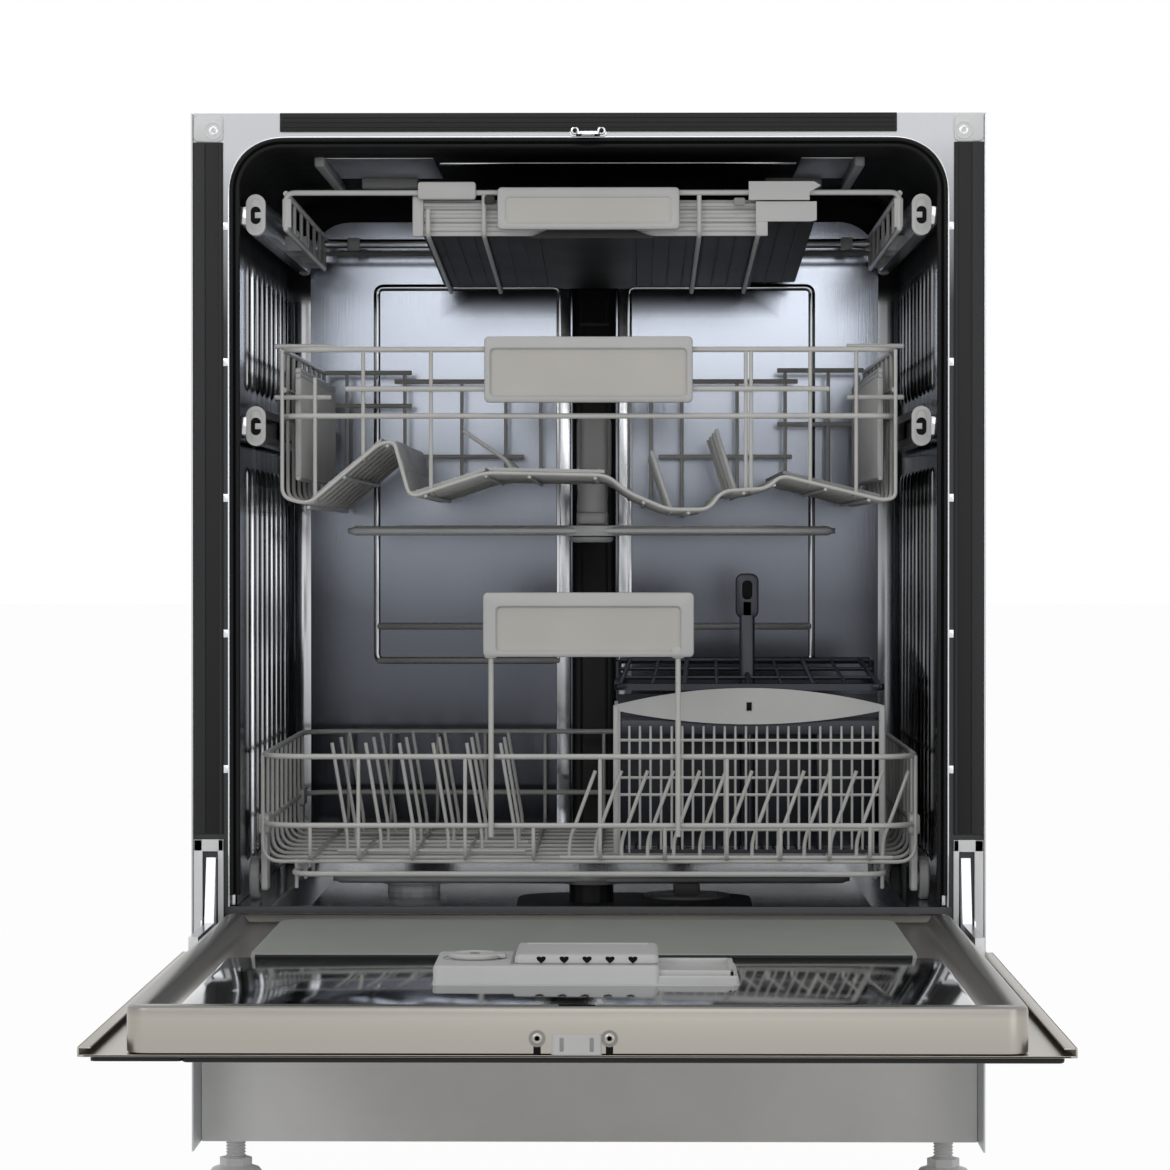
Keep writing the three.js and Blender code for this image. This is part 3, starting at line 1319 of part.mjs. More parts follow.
const tray = new THREE.Group();
dishwasher.add(tray);
add('tray_frame', trayFrame(), wireCoat, [0, 0, 0], tray);
add('tray_insert', trayInsert(), darkGrey, [0, 0, 0], tray);
add('tray_handle', rackHandle(trayHandleHalf, trayHandleBottom, trayHandleHeight, handleFront),
  lightGrey, [0, 0, 0], tray);

const lowerRack = new THREE.Group();
dishwasher.add(lowerRack);
add('lower_basket', lowerBasket(), wireCoat, [0, 0, 0], lowerRack);
add('lower_handle', lowerRackHandle(handleFront), lightGrey, [0, 0, 0], lowerRack);
add('cutlery_basket', cutleryBasket(), darkBlue, [0, 0, 0], lowerRack);
const wheelSolid = basketWheel();
sides.forEach(([name, side]) => wheelY.forEach((y, i) => {
  const place = [side * (wheelSeat + wheelWidth / 2), y, ledgeLevel + gap + wheelRadius];
  add(`basket_wheel_${['front', 'rear'][i]}_${name}`, wheelSolid, lightGrey, place, lowerRack);
}));

export default dishwasher;
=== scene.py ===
"""Dressed model of a dishwasher with its door folded down. Lengths are in metres, +Z up, the door towards -Y."""

import json
import math

import bmesh
import bpy
import numpy as np
from bpy.props import FloatProperty, FloatVectorProperty, IntProperty, PointerProperty
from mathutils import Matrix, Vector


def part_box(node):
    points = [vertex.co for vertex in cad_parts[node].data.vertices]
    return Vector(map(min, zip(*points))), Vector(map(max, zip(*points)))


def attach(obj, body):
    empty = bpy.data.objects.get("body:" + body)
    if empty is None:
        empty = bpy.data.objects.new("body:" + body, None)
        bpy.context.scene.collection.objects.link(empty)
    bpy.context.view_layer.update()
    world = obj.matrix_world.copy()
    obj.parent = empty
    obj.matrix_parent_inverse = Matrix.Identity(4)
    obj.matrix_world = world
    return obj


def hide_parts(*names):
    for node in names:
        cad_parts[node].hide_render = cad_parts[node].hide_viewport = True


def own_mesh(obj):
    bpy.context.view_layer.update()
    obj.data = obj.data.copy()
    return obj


bl_info = {
    "name": "Dishwasher dresser",
    "version": (1, 0, 0),
    "blender": (4, 5, 0),
    "location": "3D View > Sidebar > Dishwasher",
    "description": "Dresses the frame of a dishwasher with detailed pieces and finishes",
    "category": "Object",
}

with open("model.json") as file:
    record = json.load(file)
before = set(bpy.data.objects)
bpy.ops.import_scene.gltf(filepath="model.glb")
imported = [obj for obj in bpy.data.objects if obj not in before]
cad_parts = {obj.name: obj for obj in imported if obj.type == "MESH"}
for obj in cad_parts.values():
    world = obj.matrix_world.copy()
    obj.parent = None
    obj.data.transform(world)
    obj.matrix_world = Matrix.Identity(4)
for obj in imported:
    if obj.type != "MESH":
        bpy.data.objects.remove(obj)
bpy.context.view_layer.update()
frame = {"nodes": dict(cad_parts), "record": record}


def span(node):
    """Lowest and highest corner of a node of the frame, as arrays."""
    low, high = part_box(node)
    return np.array(low), np.array(high)


# Room between neighbours, and thickness of the steel sheet
PLAY = 0.0003
SHEET = 0.0012
SIDES = (("left", -1), ("right", 1))
CORNERS = [f"{end}_{side}" for end in ("front", "rear") for side in ("left", "right")]

# Places that the frame gives

PANEL_LOW, PANEL_HIGH = span("side_panel_left")
FRONT = PANEL_LOW[1]
TOP = PANEL_HIGH[2]
HALF = -PANEL_LOW[0]
GASKET_LOW, GASKET_HIGH = span("door_seal")
TUB_LOW, TUB_HIGH = span("tub_shell")
SKIN_LOW, SKIN_HIGH = span("door_skin")
PAN_LOW, PAN_HIGH = span("door_liner")


def length_entry(name, description, default, low, high):
    return FloatProperty(name=name, description=description, default=default, min=low, max=high, unit="LENGTH")


def colour_entry(name, description, default):
    return FloatVectorProperty(name=name, description=description, subtype="COLOR", default=default, min=0, max=1)


class DishwasherSizes(bpy.types.PropertyGroup):
    """Sizes that a user may change."""

    rim_wire: length_entry("Rim wire", "Radius of the racks' rim wires", 0.0021, 0.001, 0.004)
    fine_wire: length_entry("Fine wire", "Radius of the racks' other wires", 0.0015, 0.0008, 0.003)
    bead: length_entry("Pressed bead", "Radius of the beads pressed in the tub", 0.0035, 0.001, 0.008)
    tine_height: length_entry("Tine height", "Height of the plate tines over the rack's floor", 0.074, 0.03, 0.1)
    spring_coils: IntProperty(name="Spring coils", description="Coils of each door spring", default=34, min=8, max=60)


class DishwasherColours(bpy.types.PropertyGroup):
    """Base colours of the finishes."""

    steel: colour_entry("Tub steel", "Bright stainless steel", (0.66, 0.675, 0.70))
    door_steel: colour_entry("Door steel", "Satin stainless steel of the door", (0.39, 0.365, 0.325))
    coat: colour_entry("Wire coat", "Smooth grey coat of the wires", (0.60, 0.595, 0.575))
    light: colour_entry("Light plastic", "Light grey handles and caps", (0.57, 0.57, 0.565))
    dark: colour_entry("Dark plastic", "Dark grey trims and insert", (0.014, 0.0143, 0.015))
    panel: colour_entry("Handle panel", "Beige grey of the handles' panels", (0.58, 0.56, 0.52))
    olive: colour_entry("Door panel", "Olive grey of the raised inner door panel", (0.31, 0.33, 0.30))
    blue: colour_entry("Blue plastic", "Dark blue cutlery basket", (0.013, 0.017, 0.031))
    white: colour_entry("White plastic", "White caps and hinge covers", (0.86, 0.865, 0.87))


# Surfaces worked out as arrays


def rounded(rect, radius, steps=6):
    """Outline of a rectangle (a0, a1, b0, b1): each corner is centre + radius (cos t, sin t) over a quarter turn."""
    a0, a1, b0, b1 = rect
    r = max(min(radius, (a1 - a0) / 2, (b1 - b0) / 2), 1e-6)
    turn = np.linspace(0, np.pi / 2, steps)
    angle = (turn[None, :] + (np.arange(4)[:, None] - 1) * np.pi / 2).ravel()
    centre_a = np.repeat([a1 - r, a1 - r, a0 + r, a0 + r], steps)
    centre_b = np.repeat([b0 + r, b1 - r, b1 - r, b0 + r], steps)
    return np.stack([centre_a + r * np.cos(angle), centre_b + r * np.sin(angle)], 1)


def drawn_in(rect, inset):
    """A rectangle (a0, a1, b0, b1) whose four sides are moved inwards."""
    return rect[0] + inset, rect[1] - inset, rect[2] + inset, rect[3] - inset


def middle(x0, x1, y0, y1):
    """Middle of a rectangle seen from above, as a point at level 0."""
    return np.array([(x0 + x1) / 2, (y0 + y1) / 2, 0])


def placed(a, b, c, axis):
    """Points with the coordinates a and b across an axis, and c along it."""
    return np.stack({"x": (c, a, b), "y": (a, c, b), "z": (a, b, c)}[axis], -1)


def lifted(outline, level, axis):
    """Points of a flat outline (a, b) at a level along the axis that is square to it."""
    return placed(outline[:, 0], outline[:, 1], np.full(len(outline), level), axis)


def grid(points, wrap_along=False):
    """Quads between neighbours of an (n, m, 3) grid of points, closed across, and along where it wraps."""
    n, m = points.shape[:2]
    i = np.arange(n if wrap_along else n - 1)[:, None]
    j = np.arange(m)[None, :]
    near, far = i * m, ((i + 1) % n) * m
    left, right = j, (j + 1) % m
    quads = np.stack([near + left, near + right, far + right, far + left], -1).reshape(-1, 4)
    return points.reshape(-1, 3), [quads]


def capped(points):
    """A grid that wraps across, with a flat cap on its first and last ring."""
    verts, faces = grid(points)
    n, m = points.shape[:2]
    first = np.arange(m)[None, ::-1]
    return verts, faces + [first, first[:, ::-1] + (n - 1) * m]


def plate(rect, radius, stops, axis, steps=6):
    """Closed solid through rounded rectangles: each stop is (level along the axis, inset of the outline)."""
    rings = [lifted(rounded(drawn_in(rect, s), radius - s, steps), level, axis) for level, s in stops]
    return capped(np.stack(rings))


def slab(low, high, edge=0.0008, radius=0.0, axis="z"):
    """Box between two corners with softened edges: the outline is drawn in by edge at both ends."""
    k = "xyz".index(axis)
    a, b = [i for i in range(3) if i != k]
    lo, hi = np.minimum(low, high), np.maximum(low, high)
    e = min(edge, (hi[k] - lo[k]) / 2.2)
    stops = [(lo[k], e), (lo[k] + e * 0.3, e * 0.3), (lo[k] + e, 0), (hi[k] - e, 0), (hi[k] - e * 0.3, e * 0.3),
            (hi[k], e)]
    return plate((lo[a], hi[a], lo[b], hi[b]), max(radius, edge), stops, axis, 4 if radius < 0.003 else 7)


def prism(outline, levels, axis):
    """Closed solid of one flat outline carried from the first level to the last."""
    return capped(np.stack([lifted(np.asarray(outline, float), level, axis) for level in levels]))


def bent(points, bend, closed=False, steps=6):
    """Polyline whose corner C becomes C + (1 - u)^2 a + u^2 b, with a and b the reaches back along its legs."""
    p = np.asarray(points, float)
    before, after = np.roll(p, 1, axis=0) - p, np.roll(p, -1, axis=0) - p
    reach_a, reach_b = (np.linalg.norm(v, axis=1, keepdims=True) for v in (before, after))
    limit = np.minimum(bend, np.minimum(reach_a, reach_b) * 0.49)
    u = np.linspace(0, 1, steps)[None, :, None]
    a = (before / reach_a * limit)[:, None, :]
    b = (after / reach_b * limit)[:, None, :]
    curve = p[:, None, :] + a * (1 - u) ** 2 + b * u ** 2
    if closed:
        return curve.reshape(-1, 3)
    return np.vstack([p[:1], curve[1:-1].reshape(-1, 3), p[-1:]])


def tube(path, radius, sides=10, closed=False):
    """Round bar along a flat path: each ring is point + r (cos t n + sin t (d x n)), d the way and n the normal."""
    p = np.asarray(path, float)
    if closed:
        along = np.roll(p, -1, axis=0) - np.roll(p, 1, axis=0)
    else:
        along = np.gradient(p, axis=0)
    along /= np.linalg.norm(along, axis=1, keepdims=True)
    normal = np.linalg.svd(p - p.mean(0))[2][-1]
    side = np.cross(along, normal)
    t = np.linspace(0, 2 * np.pi, sides, endpoint=False)
    r = np.broadcast_to(np.asarray(radius, float), (len(p),))[:, None, None]
    rings = p[:, None, :] + r * (np.cos(t)[None, :, None] * normal + np.sin(t)[None, :, None] * side[:, None, :])
    return grid(rings, wrap_along=True) if closed else capped(rings)


def rod(start, end, radius, sides=10):
    """Round bar between two points, its ends drawn in by a third of the radius."""
    a, b = np.asarray(start, float), np.asarray(end, float)
    step = (b - a) / np.linalg.norm(b - a) * radius / 3
    radii = np.array([radius * 0.7, radius, radius, radius * 0.7])
    return tube([a, a + step, b - step, b], radii, sides)


def turned(profile, centre, axis, sides):
    """Rings of a turned surface: each (radius, level) of the profile is radius (cos t, sin t) about the axis."""
    r, level = np.asarray(profile, float).T
    t = np.linspace(0, 2 * np.pi, sides, endpoint=False)
    a, b = r[:, None] * np.cos(t), r[:, None] * np.sin(t)
    return placed(a, b, np.broadcast_to(level[:, None], a.shape), axis) + np.asarray(centre, float)


def lathe(profile, centre, axis, sides=32):
    """Turned solid with a flat cap at both ends of its profile."""
    return capped(turned(profile, centre, axis, sides))


def turned_ring(profile, centre, axis, sides=32):
    """Turned ring, whose profile closes on itself."""
    return grid(turned(profile, centre, axis, sides), wrap_along=True)


def sheet_rings(outer, inner, low, high, axis):
    """The four outlines that bound a sheet between an outer and an inner outline of as many points."""
    return [lifted(outer, low, axis), lifted(outer, high, axis), lifted(inner, high, axis), lifted(inner, low, axis)]


def holed_sheet(outer, inner, low, high, axis):
    """Sheet with one hole: the four outlines are joined in turn, and the last to the first."""
    return grid(np.stack(sheet_rings(outer, inner, low, high, axis)), wrap_along=True)


def border(outer, inner, low, high):
    """Border along an open outline that faces Y: each of its points has a four-cornered section."""
    return capped(np.stack(sheet_rings(outer, inner, low, high, "y"), 1))


def coil(start, end, radius, wire, turns):
    """Helix: centre + R (cos t u + sin t v), with a section r (cos s radial + sin s axis) round each point."""
    sides, steps = 6, 14
    a, b = np.asarray(start, float), np.asarray(end, float)
    axis = (b - a) / np.linalg.norm(b - a)
    u = np.cross(axis, (1, 0, 0))
    u /= np.linalg.norm(u)
    v = np.cross(axis, u)
    t = np.linspace(0, 2 * np.pi * turns, turns * steps + 1)
    radial = np.cos(t)[:, None] * u + np.sin(t)[:, None] * v
    centre = a + (b - a) * np.linspace(0, 1, len(t))[:, None] + radius * radial
    s = np.linspace(0, 2 * np.pi, sides, endpoint=False)
    section = np.cos(s)[None, :, None] * radial[:, None, :] + np.sin(s)[None, :, None] * axis
    return capped(centre[:, None, :] + wire * section)


class Piece:
    """Gathers closed surfaces and makes one object of them; a surface takes the piece's finish or one of its own."""

    def __init__(self, name, finish):
        self.name, self.finish = name, finish
        self.verts, self.faces, self.marks, self.finishes, self.total = [], [], [], [], 0

    def add(self, surface, finish=None):
        verts, faces = surface
        finish = finish or self.finish
        if finish not in self.finishes:
            self.finishes.append(finish)
        for block in faces:
            self.faces.extend((block + self.total).tolist())
            self.marks.append(np.full(len(block), self.finishes.index(finish)))
        self.verts.append(verts)
        self.total += len(verts)

    def make(self, body, *nodes, slot=None, smooth=35):
        """Makes the object: it rides on a body and takes the place of the given nodes of the frame."""
        mesh = bpy.data.meshes.new(self.name)
        mesh.from_pydata(np.vstack(self.verts).tolist(), [], self.faces)
        mesh.polygons.foreach_set("material_index", np.concatenate(self.marks).astype(np.int32))
        work = bmesh.new()
        work.from_mesh(mesh)
        bmesh.ops.remove_doubles(work, verts=work.verts, dist=1e-7)
        bmesh.ops.recalc_face_normals(work, faces=work.faces)
        work.to_mesh(mesh)
        work.free()
        for finish in self.finishes:
            mesh.materials.append(bpy.data.materials[finish])
        mesh.shade_smooth()
        mesh.set_sharp_from_angle(angle=math.radians(smooth))
        made = bpy.data.objects.new(self.name, mesh)
        bpy.context.scene.collection.objects.link(made)
        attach(made, body)
        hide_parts(*nodes)
        return made


# Shader maths


class Field:
    """A shader socket whose arithmetic adds Math nodes."""

    def __init__(self, shader, socket):
        self.shader, self.socket = shader, socket

    def maths(self, operation, first, second=0.0):
        return self.shader.node("ShaderNodeMath", {"operation": operation}, {0: first, 1: second})

    def __add__(self, other):
        return self.maths("ADD", self, other)

    def __sub__(self, other):
        return self.maths("SUBTRACT", self, other)

    def __rsub__(self, other):
        return self.maths("SUBTRACT", other, self)

    def __mul__(self, other):
        return self.maths("MULTIPLY", self, other)

    __radd__, __rmul__ = __add__, __mul__


class Shader:
    """The node tree of a material, or of a given owner, with its Principled shader if it keeps one."""

    def __init__(self, name, owner=None, bare=False):
        plain = bpy.data.materials.get(name)
        if plain:
            plain.name = f"{name}_plain"
        self.owner = owner or bpy.data.materials.new(name)
        self.owner.use_nodes = True
        self.tree = self.owner.node_tree
        if bare:
            self.tree.nodes.clear()
        self.surface = self.tree.nodes.get("Principled BSDF")

    def node(self, kind, settings=None, values=None, output=0):
        """Adds a node: its settings first, with a ramp's stops among them, then its sockets."""
        made = self.tree.nodes.new(kind)
        for key, value in (settings or {}).items():
            if key == "stops":
                for i, (place, level) in enumerate(value):
                    stop = made.color_ramp.elements[i] if i < 2 else made.color_ramp.elements.new(place)
                    stop.position, stop.color = place, (level, level, level, 1)
            else:
                setattr(made, key, value)
        for key, value in (values or {}).items():
            self.feed(made.inputs[key], value)
        return Field(self, made.outputs[output]) if made.outputs else None

    def feed(self, socket, value):
        if isinstance(value, Field):
            self.tree.links.new(value.socket, socket)
        else:
            socket.default_value = value

    def set(self, **values):
        for key, value in values.items():
            self.feed(self.surface.inputs[key.replace("_", " ")], value)

    def noise(self, scales, detail=3.0, rough=0.5):
        """Noise on object coordinates, with a scale along each axis."""
        place = self.node("ShaderNodeTexCoord", output=3)
        stretched = self.node("ShaderNodeMapping", values={"Vector": place, "Scale": scales})
        return self.node("ShaderNodeTexNoise", values={"Vector": stretched, "Scale": 1.0, "Detail": detail,
                "Roughness": rough})

    def height(self, axis):
        """One object coordinate."""
        place = self.node("ShaderNodeTexCoord", output=3)
        return self.node("ShaderNodeSeparateXYZ", values={"Vector": place}, output="XYZ".index(axis))

    def between(self, factor, dark, light):
        return self.node("ShaderNodeMix", {"data_type": "RGBA"}, {0: factor, 6: (*dark, 1), 7: (*light, 1)}, output=2)

    def ramp(self, factor, stops):
        return self.node("ShaderNodeValToRGB", {"stops": stops}, {"Fac": factor})

    def relief(self, height, distance):
        return self.node("ShaderNodeBump", values={"Height": height, "Distance": distance, "Strength": 1.0})

    def multiply(self, first, second):
        settings = {"data_type": "RGBA", "blend_type": "MULTIPLY"}
        return self.node("ShaderNodeMix", settings, {0: 1.0, 6: first, 7: second}, 2)


def shade(colour, share):
    """A colour made lighter or darker by a share."""
    return tuple(min(c * share, 1.0) for c in colour)


def metal(name, colour, roughness, grain, relief, spread=0.12):
    """Steel with a stretched grain in its roughness and relief, and soft smudges in its colour."""
    s = Shader(name)
    lines = s.noise(grain, 4.0, 0.65)
    smudge = s.noise((7, 7, 7), 3.0)
    s.set(Metallic=1.0, Base_Color=s.between(smudge, shade(colour, 0.88), shade(colour, 1.08)),
            Roughness=lines * spread + smudge * 0.1 + (roughness - 0.11), Normal=s.relief(lines, relief))


def streaked_metal(name, colour, painted_shade_from):
    """Wall steel: long upright streaks, darker to the right as painted shade; from the given level up a near-black
    painted shade, not metallic, stands for the shaded top of the tub.
    """
    s = Shader(name)
    streak = s.ramp(s.noise((4, 34, 1.3), 3.0, 0.6), [(0.30, 0.0), (0.47, 0.28), (0.60, 1.0)])
    fine = s.noise((900, 900, 25), 4.0, 0.65)
    # Painted shade: the tone turns near-black and loses its metal above the given level.
    below = s.ramp(s.height("Z"), [(painted_shade_from - 0.006, 1.0), (painted_shade_from + 0.006, 0.0)])
    # Painted shade: the tone falls towards the right wall.
    right = s.ramp(s.height("X"), [(0.05, 1.0), (0.25, 0.42)])
    tone = s.multiply(s.between(streak, shade(colour, 0.16), shade(colour, 1.15)), right)
    # Painted shade, not a coating: near-black and not metallic above the given level.
    coat = s.node("ShaderNodeMix", {"data_type": "RGBA"}, {0: below, 6: (0.016, 0.016, 0.017, 1), 7: tone}, 2)
    s.set(Metallic=below, Base_Color=coat, Roughness=fine * 0.08 + streak * 0.06 + (0.62 - below * 0.53),
            Normal=s.relief(fine, 2e-05), Specular_IOR_Level=0.2)


def graded_metal(name, low, high, levels, roughness=0.06, waver=0.12, grain=(900, 900, 25), shadow=None):
    """Steel whose tone changes with the height by a ramp, a painted shade and highlight; a painted shadow (x, half
    width, level) darkens a zone above it.
    """
    s = Shader(name)
    smudge = s.noise((3.2, 3.2, 2.2), 3.0, 0.55)
    fine = s.noise(grain, 4.0, 0.65)
    tone = s.between(s.ramp(s.height("Z") + smudge * waver - waver / 2, levels), low, high)
    # A painted shadow darkens the zone above the level, round the given x.
    if shadow:
        place, half, level = shadow
        across = s.height("X") - place
        inside = s.ramp(across * across * (1 / (2 * half ** 2)), [(0.34, 0.0), (0.52, 1.0)])
        below = s.ramp(s.height("Z"), [(level - 0.012, 1.0), (level + 0.004, 0.10)])
        tone = s.multiply(tone, inside.maths("MAXIMUM", inside, below))
    s.set(Metallic=1.0, Base_Color=tone, Roughness=fine * 0.1 + smudge * 0.08 + roughness,
            Normal=s.relief(fine, 2e-05))


def plastic(name, colour, roughness, gloss=0.5):
    """Moulded plastic: a fine pebble in its relief, slow changes of colour and a little wear in its gloss."""
    s = Shader(name)
    pebble = s.noise((900, 900, 900), 2.0)
    slow = s.noise((14, 14, 14), 3.0)
    s.set(Base_Color=s.between(slow, shade(colour, 0.9), shade(colour, 1.1)), Specular_IOR_Level=gloss,
            Roughness=pebble * 0.08 + slow * 0.12 + (roughness - 0.1), Normal=s.relief(pebble, 6e-05))


def rubber(name, colour):
    """Matt rubber with a dusty bloom."""
    s = Shader(name)
    bloom = s.noise((60, 60, 60), 4.0)
    fine = s.noise((1500, 1500, 1500), 2.0)
    s.set(Base_Color=s.between(bloom, shade(colour, 0.7), shade(colour, 1.7)), Roughness=bloom * 0.2 + 0.45,
            Normal=s.relief(fine, 4e-05), Specular_IOR_Level=0.2)


def coated_wire(name, colour):
    """Smooth polymer coat on wire, with slow changes of tone."""
    s = Shader(name)
    slow = s.noise((30, 30, 30), 2.0)
    fine = s.noise((700, 700, 700), 2.0)
    s.set(Base_Color=s.between(slow, shade(colour, 0.88), shade(colour, 1.12)), Roughness=slow * 0.15 + 0.27,
            Normal=s.relief(fine, 3e-05))


class OBJECT_OT_dishwasher_finishes(bpy.types.Operator):
    """Makes the finishes and gives them to the frame's own nodes"""

    bl_idname = "object.dishwasher_finishes"
    bl_label = "Finishes"

    def execute(self, context):
        c = context.scene.dishwasher_colours
        metal("tub_steel", shade(c.steel, 0.8), 0.13, (900, 900, 25), 0.00002, 0.08)
        # Tub walls and ceiling: streaks, painted shade on the right wall and a near-black painted shade above 0.706 m.
        streaked_metal("wall_steel", shade(c.steel, 1.1), 0.706)
        # Back wall: painted shade and reflection, near-black low down to bluish grey high up, with a painted shadow
        # behind the cutlery tray.
        graded_metal("back_steel", (0.05, 0.054, 0.064), (0.5, 0.54, 0.62),
                [(0.3, 0.0), (0.45, 0.12), (0.53, 0.42), (0.62, 1.0)], shadow=(0.014, 0.146, 0.701))
        metal("sheet_steel", shade(c.steel, 0.8), 0.42, (60, 60, 60), 0.00004)
        # Front frame: painted shade, near-black low down and bright near its top corners.
        graded_metal("frame_steel", shade(c.steel, 0.07), shade(c.steel, 0.62), [(0.66, 0.0), (0.79, 1.0)], 0.3)
        # Door: painted shade, the steel darker above 0.213 m, on the pan's upper faces.
        graded_metal("door_steel", (0.2, 0.195, 0.185), c.door_steel, [(0.2095, 1.0), (0.2132, 0.0)], 0.22, 0.0,
                (18, 1100, 1100))
        metal("mirror_steel", shade(c.steel, 0.62), 0.10, (20, 700, 700), 0.00001, 0.06)
        metal("bright_steel", shade(c.steel, 1.12), 0.22, (500, 500, 500), 0.00001)
        coated_wire("wire_coat", c.coat)
        for name, tone, roughness, gloss in (
                ("light", c.light, 0.42, 0.5), ("white", c.white, 0.40, 0.5), ("mid", shade(c.light, 0.5), 0.45, 0.5),
                ("panel", c.panel, 0.38, 0.5), ("olive", c.olive, 0.45, 0.5), ("dark", c.dark, 0.5, 0.25),
                ("edge", shade(c.dark, 2.6), 0.5, 0.2), ("tray", shade(c.dark, 1.5), 0.5, 0.3),
                ("blue", c.blue, 0.38, 0.5)):
            plastic(f"{name}_plastic", tone, roughness, gloss)
        # hole_dark: near-black, painted shade in holes, slots and hollows; also the dark printed marks.
        plastic("hole_dark", shade(c.dark, 0.2), 0.6, 0.1)
        rubber("seal_rubber", shade(c.dark, 0.4))
        for subpart in frame["record"]["subparts"]:
            mesh = frame["nodes"][subpart["node"]].data
            mesh.materials.clear()
            mesh.materials.append(bpy.data.materials[subpart["material_slot"]])
        return {"FINISHED"}


# Cabinet front

OPENING_RADIUS = 0.040
FLANGE = 0.0025
# Line of the hinge pins
PIN_Y, PIN_Z = FRONT - 0.015, 0.200


def arch(half, bottom, top, radius, steps=14):
    """Outline of an opening that is round at its two upper corners, from lower right to lower left."""
    turn = np.linspace(0, np.pi / 2, steps)
    right = np.stack([half - radius + radius * np.cos(turn), top - radius + radius * np.sin(turn)], 1)
    left = right[::-1] * [-1, 1]
    return np.vstack([[[half, bottom]], right, left, [[-half, bottom]]])


def squared(inner, half, top):
    """Square outline round an arch: each point of the arch goes out to the side or up to the top."""
    steps = len(inner) // 2 - 1
    corner = steps // 2
    right = inner[1:steps + 1]
    out = np.where(np.arange(steps)[:, None] <= corner, np.stack([np.full(steps, half), right[:, 1]], 1),
            np.stack([right[:, 0], np.full(steps, top)], 1))
    out[corner] = half, top
    low = np.array([[half, inner[0, 1]]])
    return np.vstack([low, out, out[::-1] * [-1, 1], low * [-1, 1]])


def screw_head(centre, radius, height):
    """Screw's pan head with a dished middle, facing -Y."""
    profile = [(0.0001, 0), (radius * 0.35, 0), (radius * 0.42, -height * 0.55), (radius * 0.6, -height),
            (radius * 0.85, -height * 0.8), (radius, -height * 0.2), (radius, height)]
    return lathe(profile, centre, "y", 20)


def front_frame():
    (_, _, z0), (_, y1, _) = span("front_frame")
    half, bottom, top = GASKET_HIGH[0] + PLAY, TUB_LOW[2], GASKET_HIGH[2] + PLAY
    face = span("top_strip")[1][1] + PLAY
    back = face + 0.002
    side = HALF - SHEET - PLAY
    piece = Piece("front_frame_sheet", "bright_steel")
    inner = arch(half, bottom, top, OPENING_RADIUS, 15)
    piece.add(border(squared(inner, side, TOP), inner, face, back), "frame_steel")
    rolled = arch(half + FLANGE, bottom, top + FLANGE, OPENING_RADIUS + FLANGE, 15)
    piece.add(border(rolled, inner, back, y1), "frame_steel")
    piece.add(slab((-side, face, z0), (side, back, bottom), 0.0003, axis="y"), "frame_steel")
    edge = [(x, face - 0.0004, z) for x, z in ((-half, bottom), (-half, top), (half, top), (half, bottom))]
    piece.add(tube(bent(edge, OPENING_RADIUS * 1.15, steps=14), 0.0008, 8))
    clips = np.linspace(span("hinge_cover_left")[1][2] + 0.05, top - 0.07, 5)
    for sign in (-1, 1):
        pin = sign * 0.2901
        piece.add(slab((sign * 0.2885, PIN_Y - 0.007, z0), (pin, back, 0.209), 0.0004, axis="x"))
        piece.add(rod((sign * 0.2797, PIN_Y, PIN_Z), (pin, PIN_Y, PIN_Z), 0.004, 16))
        for z in clips:
            piece.add(slab((sign * (half + 0.0005), face - 0.0011, z), (sign * (half + 0.004), face, z + 0.006),
                    0.0003, axis="y"))
    piece.make("cabinet", "front_frame", slot="tub_steel", smooth=40)


def trims():
    (x0, y0, z0), (x1, y1, z1) = span("top_strip")
    piece = Piece("top_trim", "dark_plastic")
    piece.add(slab((x0, y0, z0), (x1, y1, z1), 0.0005, axis="y"))
    for z in np.linspace(z0, z1, 5)[1:-1]:
        piece.add(rod((x0 + 0.002, y0 + 0.0001, z), (x1 - 0.002, y0 + 0.0001, z), 0.0006, 8))
    piece.make("cabinet", "top_strip")
    for side, sign in SIDES:
        (x0, y0, z0), (x1, y1, z1) = span(f"side_strip_{side}")
        inner, outer = sorted((x0, x1), key=abs)
        piece = Piece(f"side_trim_{side}", "dark_plastic")
        piece.add(slab((inner, y0 + 0.0012, z0), (outer, y1, z1), 0.0003, axis="y"))
        piece.add(slab((outer - sign * 0.009, y0, z0), (outer, y1, z1), 0.0006, axis="y"), "edge_plastic")
        bead_x, bead_y = inner + sign * 0.002, y0 + 0.0012
        piece.add(rod((bead_x, bead_y, z0), (bead_x, bead_y, z1), 0.0011), "edge_plastic")
        piece.make("cabinet", f"side_strip_{side}")
        corner_cover(side, sign)
        hinge_shield(side, sign)


def corner_cover(side, sign):
    (x0, y0, z0), (x1, y1, z1) = span(f"corner_cap_{side}")
    piece = Piece(f"corner_cover_{side}", "white_plastic")
    face = y0 + 0.0009
    piece.add(plate((x0, x1, z0, z1), 0.004, [(face, 0.0012), (face + 0.0004, 0.0004), (face + 0.0009, 0), (y1, 0)],
            "y"))
    centre = np.array([(x0 + x1) / 2 - sign * 0.004, y0 + 0.0014, z0 + 0.0085])
    ring = [(0.0062, 0.0002), (0.0071, -0.0006), (0.0062, -0.0012), (0.0052, -0.0006)]
    piece.add(turned_ring(ring, centre, "y", 28))
    piece.add(screw_head(centre, 0.0038, 0.0008), "bright_steel")
    piece.make("cabinet", f"corner_cap_{side}")


